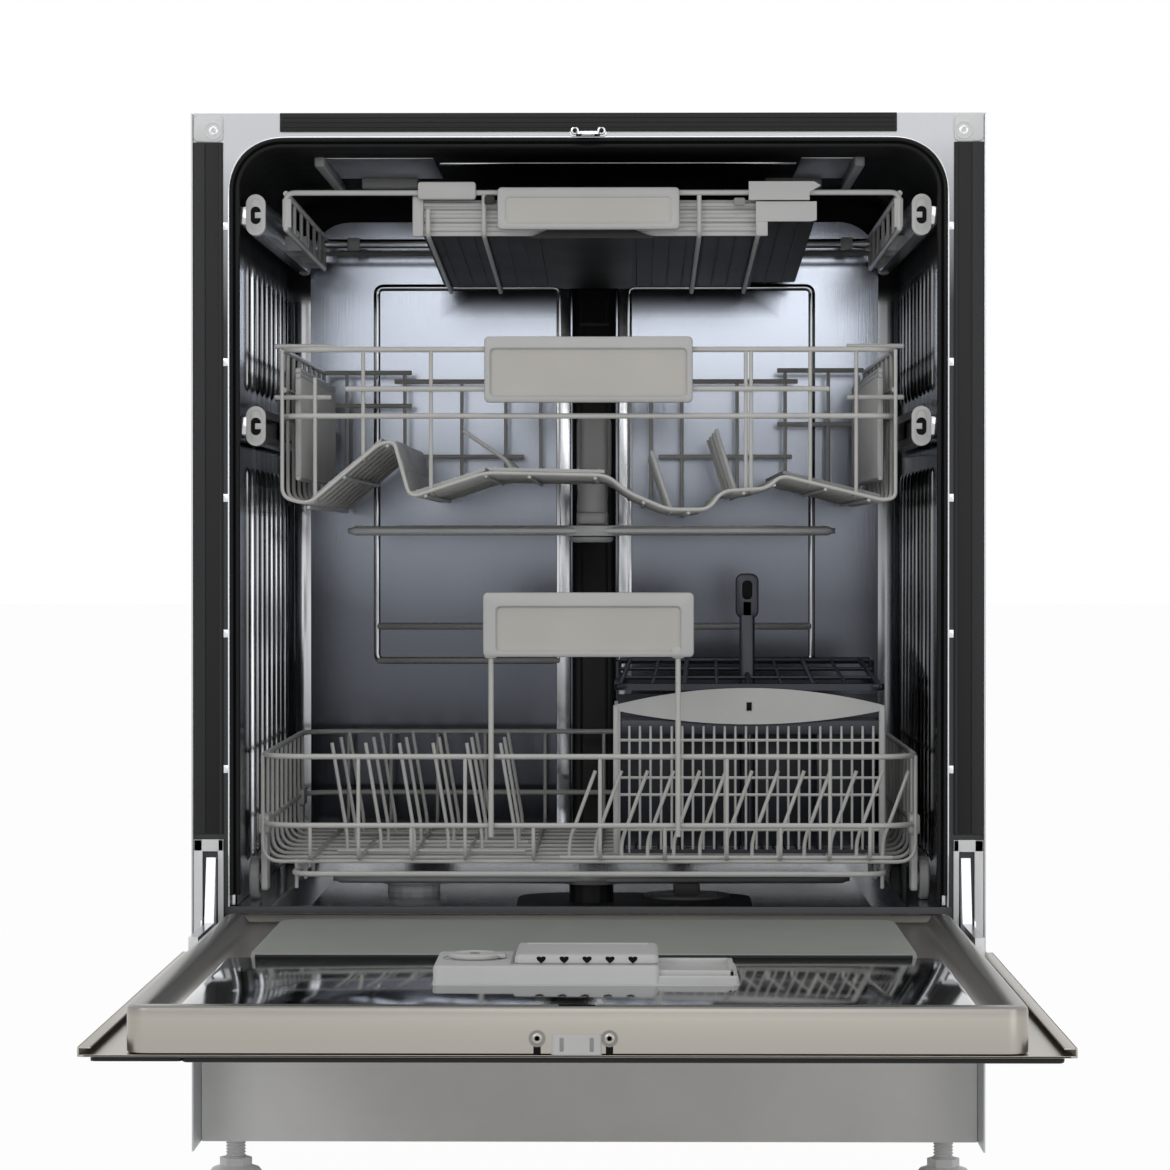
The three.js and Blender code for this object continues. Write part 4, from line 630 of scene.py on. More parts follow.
def hinge_shield(side, sign):
    (x0, y0, z0), (x1, y1, z1) = span(f"hinge_cover_{side}")
    inner, outer = sorted((x0, x1), key=abs)
    slot_in, slot_out, slot_top = sign * 0.2792, sign * 0.2908, 0.259
    piece = Piece(f"hinge_shield_{side}", "white_plastic")
    for a, b, base in ((inner, slot_in, z0), (slot_out, outer, z0), (inner, outer, slot_top)):
        piece.add(slab((a, y0, base), (b, y1, z1), 0.0006, axis="y"))
    piece.make("cabinet", f"hinge_cover_{side}")


def striker():
    (x0, y0, z0), (x1, y1, z1) = span("latch_striker")
    face = y1 - 0.0016
    piece = Piece("striker_plate", "bright_steel")
    plate_low = z1 - 0.0088
    piece.add(plate((x0, x1, plate_low, z1), 0.0025, [(face, 0.0008), (face + 0.0005, 0), (y1, 0)], "y"))
    tongue = (-0.009, 0.009, y0, face + 0.0006)
    hole = (-0.005, 0.005, y0 + 0.004, y0 + 0.012)
    piece.add(holed_sheet(rounded(tongue, 0.003), rounded(hole, 0.0015), z0, z0 + 0.002, "z"))
    for x in (-0.010, 0.010):
        piece.add(screw_head((x, face, (plate_low + z1) / 2), 0.0034, 0.0011))
    piece.make("cabinet", "latch_striker")


def seal():
    """Gasket: a closed section of a bulb, a groove and a foot, carried round the opening in its own plane."""
    (_, y0, z0), (x1, y1, z1) = GASKET_LOW, GASKET_HIGH
    section = np.array([(0, 1), (0, 0.25), (0.06, 0.08), (0.2, 0), (0.36, 0.05), (0.42, 0.25), (0.5, 0.3),
            (0.58, 0.22), (0.64, 0.06), (0.78, 0), (0.93, 0.06), (1, 0.22), (0.97, 0.5), (0.86, 0.7), (0.86, 1)])
    insets, levels = section[:, 0] * 0.0083, y0 + section[:, 1] * (y1 - y0)
    rings = []
    for inset, level in zip(insets, levels):
        outline = arch(x1 - inset, z0, z1 - inset, OPENING_RADIUS - inset, 16)
        rings.append(lifted(outline, level, "y"))
    piece = Piece("door_gasket", "seal_rubber")
    piece.add(capped(np.stack(rings, 1)))
    piece.make("cabinet", "door_seal")


class OBJECT_OT_dishwasher_front(bpy.types.Operator):
    """Builds the front frame, its trims, corner caps, hinge covers, striker and seal"""

    bl_idname = "object.dishwasher_front"
    bl_label = "Cabinet front"

    def execute(self, context):
        front_frame()
        trims()
        striker()
        seal()
        return {"FINISHED"}


# Tub

TUB_RADIUS, BACK_RADIUS = 0.035, 0.018
BEAD_STEP = 0.042


def tub_shell(r):
    half, top, bottom = 0.266, TUB_HIGH[2] - 0.0095, TUB_LOW[2]
    front, back = TUB_LOW[1], TUB_HIGH[1] - SHEET
    turn = np.linspace(0, np.pi / 2, 8)
    depth = np.concatenate([[front, (front + back) / 2], back - BACK_RADIUS * (1 - np.sin(turn))])
    inset = np.concatenate([[0, 0], BACK_RADIUS * (1 - np.cos(turn))])
    outer = arch(half + SHEET, bottom, top + SHEET, TUB_RADIUS + SHEET, 12)
    inside = [lifted(arch(half - s, bottom, top - s, TUB_RADIUS, 12), y, "y") for y, s in zip(depth, inset)]
    outside = [lifted(outer, y, "y") for y in depth[::-1]]
    piece = Piece("tub_liner", "tub_steel")
    piece.add(capped(np.stack(inside + outside, 1)), "wall_steel")
    inner = half - BACK_RADIUS
    wall = arch(inner + 0.002, bottom, top - BACK_RADIUS + 0.002, TUB_RADIUS, 12)
    piece.add(prism(wall, (back, back + SHEET), "y"), "back_steel")
    flange_inner = arch(half, bottom, top, TUB_RADIUS, 12)
    flange_outer = arch(half + 0.0075, bottom, top + 0.0095, TUB_RADIUS + 0.0075, 12)
    piece.add(border(flange_outer, flange_inner, front, front + SHEET))
    for y in np.arange(front + 0.085, back - 0.05, BEAD_STEP):
        for sign in (-1, 1):
            x = sign * (half + r * 0.25)
            out = x + sign * 2 * r
            for z0, z1 in ((bottom + 0.03, 0.548), (0.612, 0.708)):
                path = [(out, y, z0 - 0.004), (x, y, z0), (x, y, z1), (out, y, z1 + 0.004)]
                piece.add(tube(bent(path, 0.004), r, 12), "wall_steel")
    for sign in (-1, 1):
        for level in (0.5725, 0.7315):
            piece.add(slab((sign * (half - 0.009), front + 0.002, level),
                    (sign * (half + 0.0005), back - 0.02, level + 0.015), 0.0015, axis="y"))
    for sign in (-1, 1):
        a, b = sign * 0.030, sign * 0.190
        corners = [(a, 0.715), (b, 0.715), (b, 0.389), (a, 0.389)]
        loop = bent([(x, back + r * 0.2, z) for x, z in corners], 0.006, closed=True)
        piece.add(tube(loop, r * 0.9, 12, closed=True))
        # Two light rods low on each pressed frame: painted highlights on the steel.
        for y, z, share in ((back - 0.0004, 0.419, 0.85), (back - 0.0010, 0.389, 0.75)):
            piece.add(rod((a, y, z), (b, y, z), r * share, 12), "light_plastic")
        piece.add(slab((sign * 0.0205, back - 0.0022, 0.232), (sign * 0.033, back + 0.0004, 0.716), 0.0006, axis="y"),
                "bright_steel")
        for x0, x1, y0, y1, z0 in ((205, 213, 87, 314, 783), (142, 188, 262, 274, 782)):
            piece.add(box_mm(sign * x0, sign * x1, y0, y1, z0, 790.4, 0.001, 0.0015), "light_plastic")
    for x0, x1 in ((-205, -121), (164, 205)):
        piece.add(box_mm(x0, x1, 92, 258, 789.2, 790.6, 0.0004), "sheet_steel")
    piece.add(bar((-118, 132, 789.8), (162, 132, 789.8), 0.0016), "bright_steel")
    piece.make("cabinet", "tub_shell", smooth=50)


def feed_column():
    (x0, y0, z0), (x1, y1, z1) = span("water_feed_column")
    front, face = y0 + 0.005, y0
    piece = Piece("feed_column", "dark_plastic")
    piece.add(plate((x0, x1, front, y1 + 0.004), 0.006, [(z0, 0), (z1 - 0.003, 0), (z1, 0.002)], "z"))
    for x in (-0.011, 0.011):
        piece.add(rod((x, front, z0 + 0.03), (x, front, z1 - 0.01), 0.0012, 8))
    dock = [(front + 0.006, 0), (face + 0.0012, 0), (face, 0.0012), (face, 0.005), (face + 0.0035, 0.0062)]
    piece.add(plate((-0.015, 0.015, 0.546, 0.603), 0.007, dock, "y"), "light_plastic")
    for z in (0.63, 0.655, 0.68):
        piece.add(slab((-0.013, front - 0.0012, z), (0.013, front + 0.002, z + 0.004), 0.0006, axis="y"))
    piece.make("cabinet", "water_feed_column")


class OBJECT_OT_dishwasher_tub(bpy.types.Operator):
    """Builds the tub with its pressed beads, and the water feed column with its dock"""

    bl_idname = "object.dishwasher_tub"
    bl_label = "Tub"

    def execute(self, context):
        tub_shell(context.scene.dishwasher_sizes.bead)
        feed_column()
        return {"FINISHED"}


# Rack rails


def at(*points):
    """Points given in millimetres from the middle of the cabinet's front plane and the floor, in metres."""
    return np.array(points, float) / 1000 + (0, FRONT, 0)


def wire(points, radius, bend=0.010, closed=False):
    """Bent wire through points given in millimetres."""
    return tube(bent(at(*points), bend, closed), radius, closed=closed)


def bar(start, end, radius, sides=10):
    """Straight bar between two points given in millimetres."""
    return rod(*at(start, end), radius, sides)


def carried(section, *depths):
    """Solid of an outline (x, z) carried back through the depths, all in millimetres."""
    return capped(np.stack([at(*[(x, y, z) for x, z in section]) for y in depths]))


def box_mm(x0, x1, y0, y1, z0, z1, edge=0.0005, radius=0.0, axis="z"):
    """Softened block given by its limits in millimetres."""
    return slab(*at((x0, y0, z0), (x1, y1, z1)), edge, radius, axis)


RAIL_CAP = 0.012


def rail(node, body):
    (x0, y0, z0), (x1, y1, z1) = span(node)
    sign = 1 if x0 > 0 else -1
    inner, outer = sorted((x0, x1), key=abs)
    mouth, far = inner + sign * 0.001, outer - sign * 0.0018
    near = inner + sign * (0.001 + 0.0018)
    base, top = z0 + 0.002, z1 - 0.002
    section = [(mouth, base), (outer, base), (outer, top), (mouth, top), (mouth, top - 0.006), (near, top - 0.006),
            (near, top - 0.0018), (far, top - 0.0018), (far, base + 0.0018), (near, base + 0.0018),
            (near, base + 0.006), (mouth, base + 0.006)]
    piece = Piece(f"{node}_dressed", "light_plastic")
    piece.add(prism(section, (y0 + RAIL_CAP * 0.7, y1 - RAIL_CAP * 0.7), "y"), "bright_steel")
    for face, turn in ((y0, 1), (y1, -1)):
        stops = [(face, 0.0016), (face + turn * 0.0006, 0.0005), (face + turn * 0.0018, 0),
                (face + turn * RAIL_CAP, 0)]
        piece.add(plate((x0, x1, z0, z1), 0.0052, stops, "y", 8))
    cap_face(piece, (x0 + x1) / 2, y0, (z0 + z1) / 2, (z1 - z0) / 2, sign)
    piece.make(body, node)


def cap_face(piece, x, y, z, tall, sign):
    """A raised oval rim round a dark C, whose square tab comes from the side of the rack."""
    half = 0.0073
    rim = (x - half, x + half, z - tall, z + tall)
    outer, inside = rounded(rim, half, 8), rounded(drawn_in(rim, 0.003), half - 0.003, 8)
    piece.add(holed_sheet(outer, inside, y - 0.0006, y + 0.004, "y"))
    piece.add(plate((x - 0.004, x + 0.004, z - 0.0072, z + 0.0066), 0.0038, [(y - 0.0002, 0.0003), (y + 0.001, 0)],
            "y"), "hole_dark")
    piece.add(slab((x + sign * 0.0006, y - 0.0006, z - 0.0024), (x - sign * 0.0044, y + 0.001, z + 0.002), 0.0003,
            axis="y"))


class OBJECT_OT_dishwasher_rails(bpy.types.Operator):
    """Builds the telescopic rails of the upper rack and the cutlery tray, with their end caps"""

    bl_idname = "object.dishwasher_rails"
    bl_label = "Rails"

    def execute(self, context):
        for kind, body in (("upper", "upper_rails"), ("tray", "tray_rails")):
            for side, _ in SIDES:
                rail(f"{kind}_rail_{side}", body)
        return {"FINISHED"}


# Cutlery tray

# Front end and length of the insert's sloping floor, in millimetres
TRAY_START, TRAY_RUN = 44, 356


def tray_wires(rim, fine):
    piece = Piece("tray_wires", "wire_coat")
    left, right, near, far = -230, 236, 30, 425
    piece.add(wire([(left, near, 729), (left, near, 757.5), (right, near, 757.5), (right, near, 729)], rim, 0.007))
    for x, inward in ((left, 1), (right, -1)):
        piece.add(box_mm(x - inward * 2.6, x + inward * 4.2, 28.4, 31.6, 731, 753, 0.0008, axis="y"), "light_plastic")
        piece.add(wire([(x, near, 757), (x - inward * 1.5, far, 755), (x - inward * 1.5, far, 727)], rim, 0.006))
        piece.add(bar((x, near, 730), (x - inward * 1.5, far, 727), rim))
        for y in (66, 118, 182, 246, 310, 368):
            piece.add(bar((x - inward, y, 729), (x - inward, y, 756.5), fine))
        for y0 in (240, 385):
            piece.add(box_mm(x - inward, x - inward * 19, y0, y0 + 60, 729, 741, 0.0006), "light_plastic")
    piece.add(box_mm(left - 1, right + 1, 421, 427, 744.5, 752.5, 0.0016, 0.0022, "x"), "bright_steel")
    piece.add(bar((left, 424, 740), (right, 424, 740), rim), "mid_plastic")
    for x in (left + 19, right - 24):
        piece.add(box_mm(x, x + 10, 419.5, 428.5, 743, 753.6, 0.0008), "light_plastic")
    for x, top in ((-122, 745), (-79.5, 759), (84, 759), (128.5, 736)):
        piece.add(wire([(x, near + 1, top), (x, near + 1, 725), (x, far, 706.5), (x, far, 748)], fine * 1.2, 0.006))
    piece.make("cutlery_tray", "tray_frame")


def tray_level(y):
    """Level of the insert's floor, which falls from front to back."""
    return 727 - 17.0 * (y - TRAY_START) / TRAY_RUN


def trough(piece, x0, x1, y0, y1, lift, top):
    """Open trough between two walls, its floor sloping: each section across X is a U with a thin wall."""
    rings = []
    for y in (y0, y1):
        z = tray_level(y) + lift * (1 - 0.55 * (y - TRAY_START) / TRAY_RUN)
        section = [(x0, top), (x0, z + 1.2), (x0 + 1.2, z), (x1 - 1.2, z), (x1, z + 1.2), (x1, top), (x1 - 1.8, top),
                (x1 - 1.8, z + 2.0), (x0 + 1.8, z + 2.0), (x0 + 1.8, top)]
        rings.append(at(*[(x, y, level) for x, level in section]))
    piece.add(capped(np.stack(rings)))
    for y in (y0, y1 - 1.8):
        piece.add(box_mm(x0 + 0.4, x1 - 0.4, y, y + 1.8, tray_level(y) + lift + 0.2, top - 0.3, 0.0004, axis="y"))


def tray_insert():
    piece = Piece("tray_cutlery_insert", "tray_plastic")
    left, right, end = -127, 134, 172
    front, back = TRAY_START, TRAY_START + TRAY_RUN
    trough(piece, left, right, front, back, 0, 737)
    trough(piece, right - 1.8, end, front, back, 8.5, 741)
    for x in np.arange(left + 13, right - 6, 12.6):
        if -30 < x < 33:
            continue
        piece.add(bar((x, front + 1, tray_level(front + 1) - 0.1), (x, back - 2, tray_level(back - 2) - 0.1), 0.0009,
                8), "edge_plastic")
    for x in (right + 12, end - 12):
        piece.add(bar((x, front + 1, 735.2), (x, back - 2, 713.6), 0.0008, 8), "edge_plastic")
    island = [(-30, -0.4), (-25, -1.6), (28, -1.6), (33, -0.4), (33, 1.0), (-30, 1.0)]
    rings = [at(*[(x, y, tray_level(y) + z) for x, z in island]) for y in (front + 1, back - 1)]
    piece.add(capped(np.stack(rings)), "dark_plastic")
    for x in (-92, -58, 62, 98):
        rings = [at((x - 0.8, y, tray_level(y) + 1), (x + 0.8, y, tray_level(y) + 1), (x + 0.8, y, 736),
                (x - 0.8, y, 736)) for y in (front + 1, back - 1)]
        piece.add(capped(np.stack(rings)))
    for y in np.linspace(front + 16, back - 16, 14):
        for x0, x1 in ((left + 2, -30), (33, right - 2)):
            z = tray_level(y)
            piece.add(box_mm(x0, x1, y - 0.8, y + 0.8, z + 1, z + 7.5, 0.0004, axis="y"), "edge_plastic")
    piece.add(box_mm(-131, 134, 37, 40.5, 725.2, 752.5, 0.0008, axis="y"), "light_plastic")
    # Two darker strips across the tray's front stand for its grooves: painted shade.
    for z in (735.4, 745.2):
        piece.add(box_mm(-131, 134, 36.7, 38, z - 0.8, z + 0.8, 0.0003, axis="y"), "mid_plastic")
    for z in (730.4, 740.4, 749.0):
        piece.add(bar((-131, 36.9, z), (134, 36.9, z), 0.002), "light_plastic")
    piece.add(box_mm(-134, -125.5, 33, 38.5, 724.5, 756, 0.0012, 0.002, "y"), "light_plastic")
    piece.add(carried([(-46, 723.5), (-29, 730.5), (33, 730.5), (51, 723.5)], 34.4, 41))
    piece.make("cutlery_tray", "tray_insert", slot="dark_plastic")


def tray_handle():
    piece = Piece("tray_pull", "light_plastic")
    pull(piece, *span("tray_handle"), 0.0060, 0.0075, 0.0042, 0.0009, 0.0032)
    piece.add(box_mm(-129.5, -85.5, 24.5, 33, 752.2, 765.5, 0.0012, 0.0022, "y"))
    hood = [(121.5, 751.5), (121.5, 765.5), (171, 765.5), (176, 762.5), (167.5, 757.5), (167.5, 751.5)]
    piece.add(carried(hood, 24.5, 33))
    shoulder = [(127, 735.5), (127, 750.5), (173, 750.5), (173, 736.5), (169, 735.5), (136, 735.5)]
    piece.add(carried(shoulder, 27, 33))
    piece.add(box_mm(127, 136, 27.4, 33, 724.5, 736, 0.0008, axis="y"))
    piece.add(box_mm(-79, -71, 26.5, 31, 748.5, 755, 0.0008, 0.0015, "y"), "edge_plastic")
    piece.add(box_mm(110, 119, 27.5, 31, 747.5, 753.5, 0.0008, 0.0018, "y"), "mid_plastic")
    piece.make("cutlery_tray", "tray_handle")


class OBJECT_OT_dishwasher_tray(bpy.types.Operator):
    """Builds the cutlery tray: its wire frame, ribbed insert, clips and handle"""

    bl_idname = "object.dishwasher_tray"
    bl_label = "Cutlery tray"

    def execute(self, context):
        sizes = context.scene.dishwasher_sizes
        tray_wires(sizes.rim_wire, sizes.fine_wire)
        tray_insert()
        tray_handle()
        return {"FINISHED"}


def pull(piece, low, high, side, top, bottom, depth, radius):
    """Handle plate facing -Y: a rolled edge, a flat border and a recessed panel, as one loft of rounded rectangles."""
    face = low[1]
    edge = [(high[1], 0.0010), (high[1] - 0.001, 0), (face + 0.0020, 0), (face + 0.0007, 0.0004), (face, 0.0016)]
    recess = [(face, -0.0007), (face + depth * 0.3, 0), (face + depth, 0.0006), (face + depth, 0.0016)]
    rings = [(level, s, s, s) for level, s in edge]
    rings += [(level, side + s, top + s, bottom + s) for level, s in recess]
    outlines = [lifted(rounded((low[0] + a, high[0] - a, low[2] + c, high[2] - b), radius, 7), level, "y")
            for level, a, b, c in rings]
    piece.add(capped(np.stack(outlines)))
    panel = drawn_in((low[0] + side, high[0] - side, low[2] + bottom, high[2] - top), 0.0012)
    face += depth
    piece.add(plate(panel, radius, [(face - 0.0003, 0.0003), (face + 0.0004, 0)], "y"), "panel_plastic")


# Upper rack

# Half width, front, back and level of the rim, in millimetres
UPPER_LIMITS = (233, 30, 442, 638.5)
# Course of the floor's wires across the rack: place and level, in millimetres
WAVE = np.array([(-233, 526), (-213, 521), (-159, 567), (-148, 569), (-136, 526), (-78, 545), (14, 543), (30, 530),
        (60, 517), (92, 517), (101, 531), (136, 533), (146, 543), (224, 524), (233, 526)], float)


def wave_level(x):
    """Level of the upper rack's floor over the rack's width, in millimetres."""
    return float(np.interp(x, WAVE[:, 0], WAVE[:, 1]))


def upper_rims(piece, r):
    half, near, far, rim = UPPER_LIMITS
    for z in (rim, 588):
        piece.add(wire([(-half, far, z), (-half, near, z), (half, near, z), (half, far, z)], r, 0.024))
    piece.add(bar((-185, near - 2, 608.5), (183, near - 2, 608.5), r))
    for x0, x1, z in ((-half, -157, rim), (-172, 176, 631), (158, half, 640.5), (-half, -157, 610), (158, half, 594),
            (56, 171, 566), (-176, -60, 566)):
        piece.add(bar((x0, far, z), (x1, far, z), r))
    for sign in (-1, 1):
        for z in (603, 642):
            piece.add(bar((sign * 197, 52, z), (sign * 241, 52, z), r * 0.9))
    for x in (-half, half):
        piece.add(wire([(x, near + 14, 608.5), (x, far, 608.5)], r))


def upper_floor(piece, r):
    half, near, far, rim = UPPER_LIMITS
    for y in np.linspace(near, far, 9):
        points = [(-half, y, rim), *((x, y, z) for x, z in WAVE), (half, y, rim)]
        piece.add(wire(points, r, 0.008))
    for x in (-213, -186, -153, -124, -78, -45, 5, 42, 76, 118, 141, 180, 213):
        z = wave_level(x) - 2.4
        piece.add(bar((x, near, z), (x, far, z), r))
    for y0 in (240, 385):
        for sign in (-1, 1):
            piece.add(box_mm(sign * 232, sign * 254, y0, y0 + 60, 575, 590, 0.0006), "light_plastic")


def uprights(piece, r):
    _, near, far, rim = UPPER_LIMITS
    for x, top in ((-208, 617), (-171.4, rim), (-119.8, rim), (119.4, rim), (123.4, rim), (168.3, rim),
            (203.2, rim)):
        z = wave_level(x)
        piece.add(wire([(x, near, top), (x, near, z - 2), (x, near + 40, z - 2)], r, 0.008))
    for x in (-213, -163, -113.8, -75.8, -45.6, 30.4, 49.4, 76, 123.6, 165, 202.2):
        top = rim if abs(x) > 160 else 630
        piece.add(bar((x, far, wave_level(x) - 2), (x, far, top), r))
    for y in (90, 190, 300, 400):
        for x, top in ((-63, 22), (60, 34), (110, 36)):
            z = wave_level(x)
            lean = -35 if x < -60 else -12
            piece.add(wire([(x + 4, y, z - 2), (x, y, z + 10), (x + lean, y, z + top + 12)], r * 1.15, 0.006),
                    "light_plastic")


def ramps(piece):
    """Thin sheets that lie on the slopes of the floor, each a slanted strip of four corners."""
    strips = ((-211, -158, "light_plastic"), (-147, -137, "light_plastic"), (-135, -79, "light_plastic"),
            (-76, 12, "light_plastic"), (148, 222, "mid_plastic"))
    for x0, x1, y0, y1, finish in [(a, b, *depths, finish) for a, b, finish in strips
            for depths in ((38, 222), (228, 434))]:
        z0, z1 = wave_level(x0) + 1.8, wave_level(x1) + 1.8
        piece.add(carried([(x0, z0), (x1, z1), (x1, z1 + 2.4), (x0, z0 + 2.4)], y0, y1), finish)
        for x in np.linspace(x0 + 4, x1 - 4, 6):
            z = np.interp(x, (x0, x1), (z0, z1)) + 2.4
            piece.add(bar((x, y0 + 3, z), (x, y1 - 3, z), 0.0008, 6), finish)


def upper_handle():
    piece = Piece("upper_pull", "light_plastic")
    pull(piece, *span("upper_handle"), 0.0046, 0.0092, 0.0042, 0.0026, 0.0036)
    piece.make("upper_rack", "upper_handle")


def cup_shelf(side, sign):
    (x0, y0, z0), (x1, y1, z1) = span(f"cup_shelf_{side}")
    x = (x0 + x1) / 2 - sign * 0.0004
    piece = Piece(f"cup_shelf_{side}_ribbed", "light_plastic")
    top = z1 - 0.0024
    piece.add(slab((x - 0.0008, y0 + 0.001, z0), (x + 0.0008, y1 - 0.001, top), 0.0003, axis="x"))
    for y in np.linspace(y0 + 0.003, y1 - 0.003, 34):
        piece.add(slab((x - 0.0022, y - 0.0012, z0 + 0.001), (x + 0.0022, y + 0.0012, top), 0.0005))
    for z in (z0 + 0.0015, top - 0.004):
        piece.add(rod((x, y0, z), (x, y1, z), 0.0022, 8))
    piece.add(rod((x, y0, top), (x, y1, top), 0.0024))
    piece.make(f"cup_shelf_{side}", f"cup_shelf_{side}")


def feed_pipe():
    """Feed pipe of flat section: a run back over the arm, a rise up to the dock, and the arm's bearing."""
    _, (_, y1, z1) = span("spray_feed_tube")
    piece = Piece("spray_feed_pipe", "light_plastic")
    run_low, run_high = 0.5066, 0.5166
    rise_front = y1 - 0.016
    piece.add(slab((-0.012, FRONT + 0.245 - 0.016, run_low), (0.012, y1, run_high), 0.003, 0.006))
    piece.add(slab((-0.012, rise_front, run_low), (0.012, y1, z1), 0.003, 0.005))
    centre = (0, FRONT + 0.245, 0)
    piece.add(lathe([(0.0115, run_high - 0.001), (0.012, run_high + 0.004), (0.0112, 0.532), (0.0118, 0.5395)], centre,
            "z", 24))
    piece.add(lathe([(0.0068, 0.4925), (0.0068, run_low + 0.001)], centre, "z", 24))
    piece.add(lathe([(0.012, 0.492), (0.0165, 0.4925), (0.018, 0.4945), (0.0175, 0.4965)], centre, "z", 28))
    for y in np.linspace(FRONT + 0.29, rise_front - 0.02, 4):
        piece.add(slab((-0.0128, y, run_low - 0.0004), (0.0128, y + 0.003, run_high + 0.0006), 0.001, axis="y"))
    piece.make("upper_rack", "spray_feed_tube")


class OBJECT_OT_dishwasher_upper_rack(bpy.types.Operator):
    """Builds the upper rack with its wavy floor, ramps, handle, cup shelves, feed pipe and spray arm"""

    bl_idname = "object.dishwasher_upper_rack"
    bl_label = "Upper rack"

    def execute(self, context):
        sizes = context.scene.dishwasher_sizes
        piece = Piece("upper_rack_wires", "wire_coat")
        upper_rims(piece, sizes.rim_wire)
        upper_floor(piece, sizes.fine_wire)
        uprights(piece, sizes.fine_wire)
        ramps(piece)
        piece.make("upper_rack", "upper_basket")
        upper_handle()
        for side, sign in SIDES:
            cup_shelf(side, sign)
        feed_pipe()
        spray_arm("upper_spray_arm", "upper_arm", 10, "upper_arm_blade", "white_plastic")
        return {"FINISHED"}


def spray_arm(node, body, nozzles, name, finish):
    """Spray arm: a flat blade lofted along X from rounded sections, with a hub and a row of nozzles."""
    low, high = span(node)
    centre = (low + high) / 2
    half, thick = high[0] - centre[0], high[2] - low[2]
    piece = Piece(name, finish)
    share = np.array([0, 0.012, 0.03, 0.12, 0.45, 0.8, 1])
    width = np.array([0.006, 0.010, 0.0125, 0.0145, 0.0175, 0.021, 0.0225])
    x = np.concatenate([-half + half * share, (half - half * share)[::-1][1:]])
    w = np.concatenate([width, width[::-1][1:]])
    section = rounded((-1, 1, -1, 1), 0.7, 5)
    lift = thick * 0.42 * np.where(np.abs(x) > half * 0.985, 0.6, 1)
    rings = np.stack([np.broadcast_to(x[:, None], (len(x), len(section))),
            centre[1] + w[:, None] * section[None, :, 0], centre[2] + lift[:, None] * section[None, :, 1]], -1)
    piece.add(capped(rings))
    top = high[2]
    hub = [(0.0085, low[2]), (0.024, low[2] + 0.0006), (0.0255, centre[2]), (0.0245, top - 0.0006), (0.0085, top)]
    piece.add(turned_ring(hub, (0, centre[1], 0), "z", 36))
    rim = [(0.0022, top - 0.0012), (0.0042, top - 0.0012), (0.0036, top - 0.0002), (0.0024, top - 0.0002)]
    hole = [(0.0023, top - 0.001), (0.0023, top - 0.0006)]
    for side in (-1, 1):
        for i, s in enumerate(np.linspace(0.26, 0.94, nozzles // 2)):
            place = (side * half * s, centre[1] + (0.006 if i % 2 else -0.006), 0)
            piece.add(turned_ring(rim, place, "z", 14))
            # A near-black disc in each nozzle: painted shade of the hole.
            piece.add(lathe(hole, place, "z", 12), "hole_dark")
    piece.add(slab((-half * 0.8, centre[1] - 0.0012, top - 0.0012), (half * 0.8, centre[1] + 0.0012, top), 0.0005))
    piece.make(body, node)


# Lower rack

# Half width, front and back, then the levels of its wires and the places of its wheels, in millimetres
LOWER_LIMITS = (250, 30, 442)
LOWER_RIM, LOWER_MIDDLE, LOWER_FLOOR, LOWER_FRAME = 329, 276.5, 249, 239
WHEEL_DEPTHS = (75, 405)


def lower_rims(piece, r):
    half, near, far = LOWER_LIMITS
    for z in (LOWER_RIM, LOWER_MIDDLE):
        piece.add(wire([(-half, near, z), (half, near, z), (half, far, z), (-half, far, z)], r, 0.04, True))
    frame_half, z = 226, LOWER_FRAME
    piece.add(wire([(-frame_half, near + 8, z), (frame_half, near + 8, z), (frame_half, far - 8, z),
            (-frame_half, far - 8, z)], r, 0.02, True))


def lower_floor(piece, r):
    half, near, far = LOWER_LIMITS
    rim, low = LOWER_RIM, LOWER_FLOOR - 1.5
    for y in np.linspace(near + 22, far - 22, 10):
        piece.add(wire([(-half, y, rim), (-half, y, low), (half, y, low), (half, y, rim)], r, 0.014))
    for x in (-212, -175.2, -135, -93.9, -42, 8.7, 58, 105.2, 146, 183.5, 214):
        top = rim if x in (-175.2, -93.9, 8.7, 105.2, 183.5) else LOWER_MIDDLE
        piece.add(wire([(x, near, top), (x, near, low + 3), (x, far, low + 3), (x, far, rim)], r, 0.012))
    for x in (-226.0, 226.0):
        for y in (75, 160, 236, 320, 405):
            piece.add(bar((x, y, LOWER_FRAME - 14), (x, y, low), r))


def tines(piece, r, height):
    rows = [(-190, -58, 6, (120, 215, 310), -12, 86), (60, 200, 6, (300, 380), 12, 86), (-15, 225, 13, (55,), 20, 68)]
    for x0, x1, count, depths, lean, tall in rows:
        tall = tall * height / 74
        for y in depths:
            piece.add(bar((x0 - 8, y, LOWER_FLOOR + 1.5), (x1 + 8, y, LOWER_FLOOR + 1.5), r * 1.1))
            for x in np.linspace(x0, x1, count):
                points = [(x, y, LOWER_FLOOR + 1), (x, y, LOWER_FLOOR + 14), (x + lean, y, LOWER_FLOOR + tall)]
                piece.add(wire(points, r, 0.008))


def axles(piece):
    for sign in (-1, 1):
        for y in WHEEL_DEPTHS:
            piece.add(box_mm(sign * 247.5, sign * 252.5, y - 11, y + 11, 224, 279, 0.001, 0.003, "x"), "light_plastic")
            centre = at((sign * 250, y, 233))[0]
            axle = [(0.006, 0), (0.006, sign * 0.0036), (0.0038, sign * 0.0038), (0.0038, sign * 0.0115)]
            piece.add(lathe(axle, centre, "x", 20), "light_plastic")
            piece.add(box_mm(sign * 246, sign * 254, y - 16, y + 16, 268, 283, 0.001, 0.003, "x"), "light_plastic")


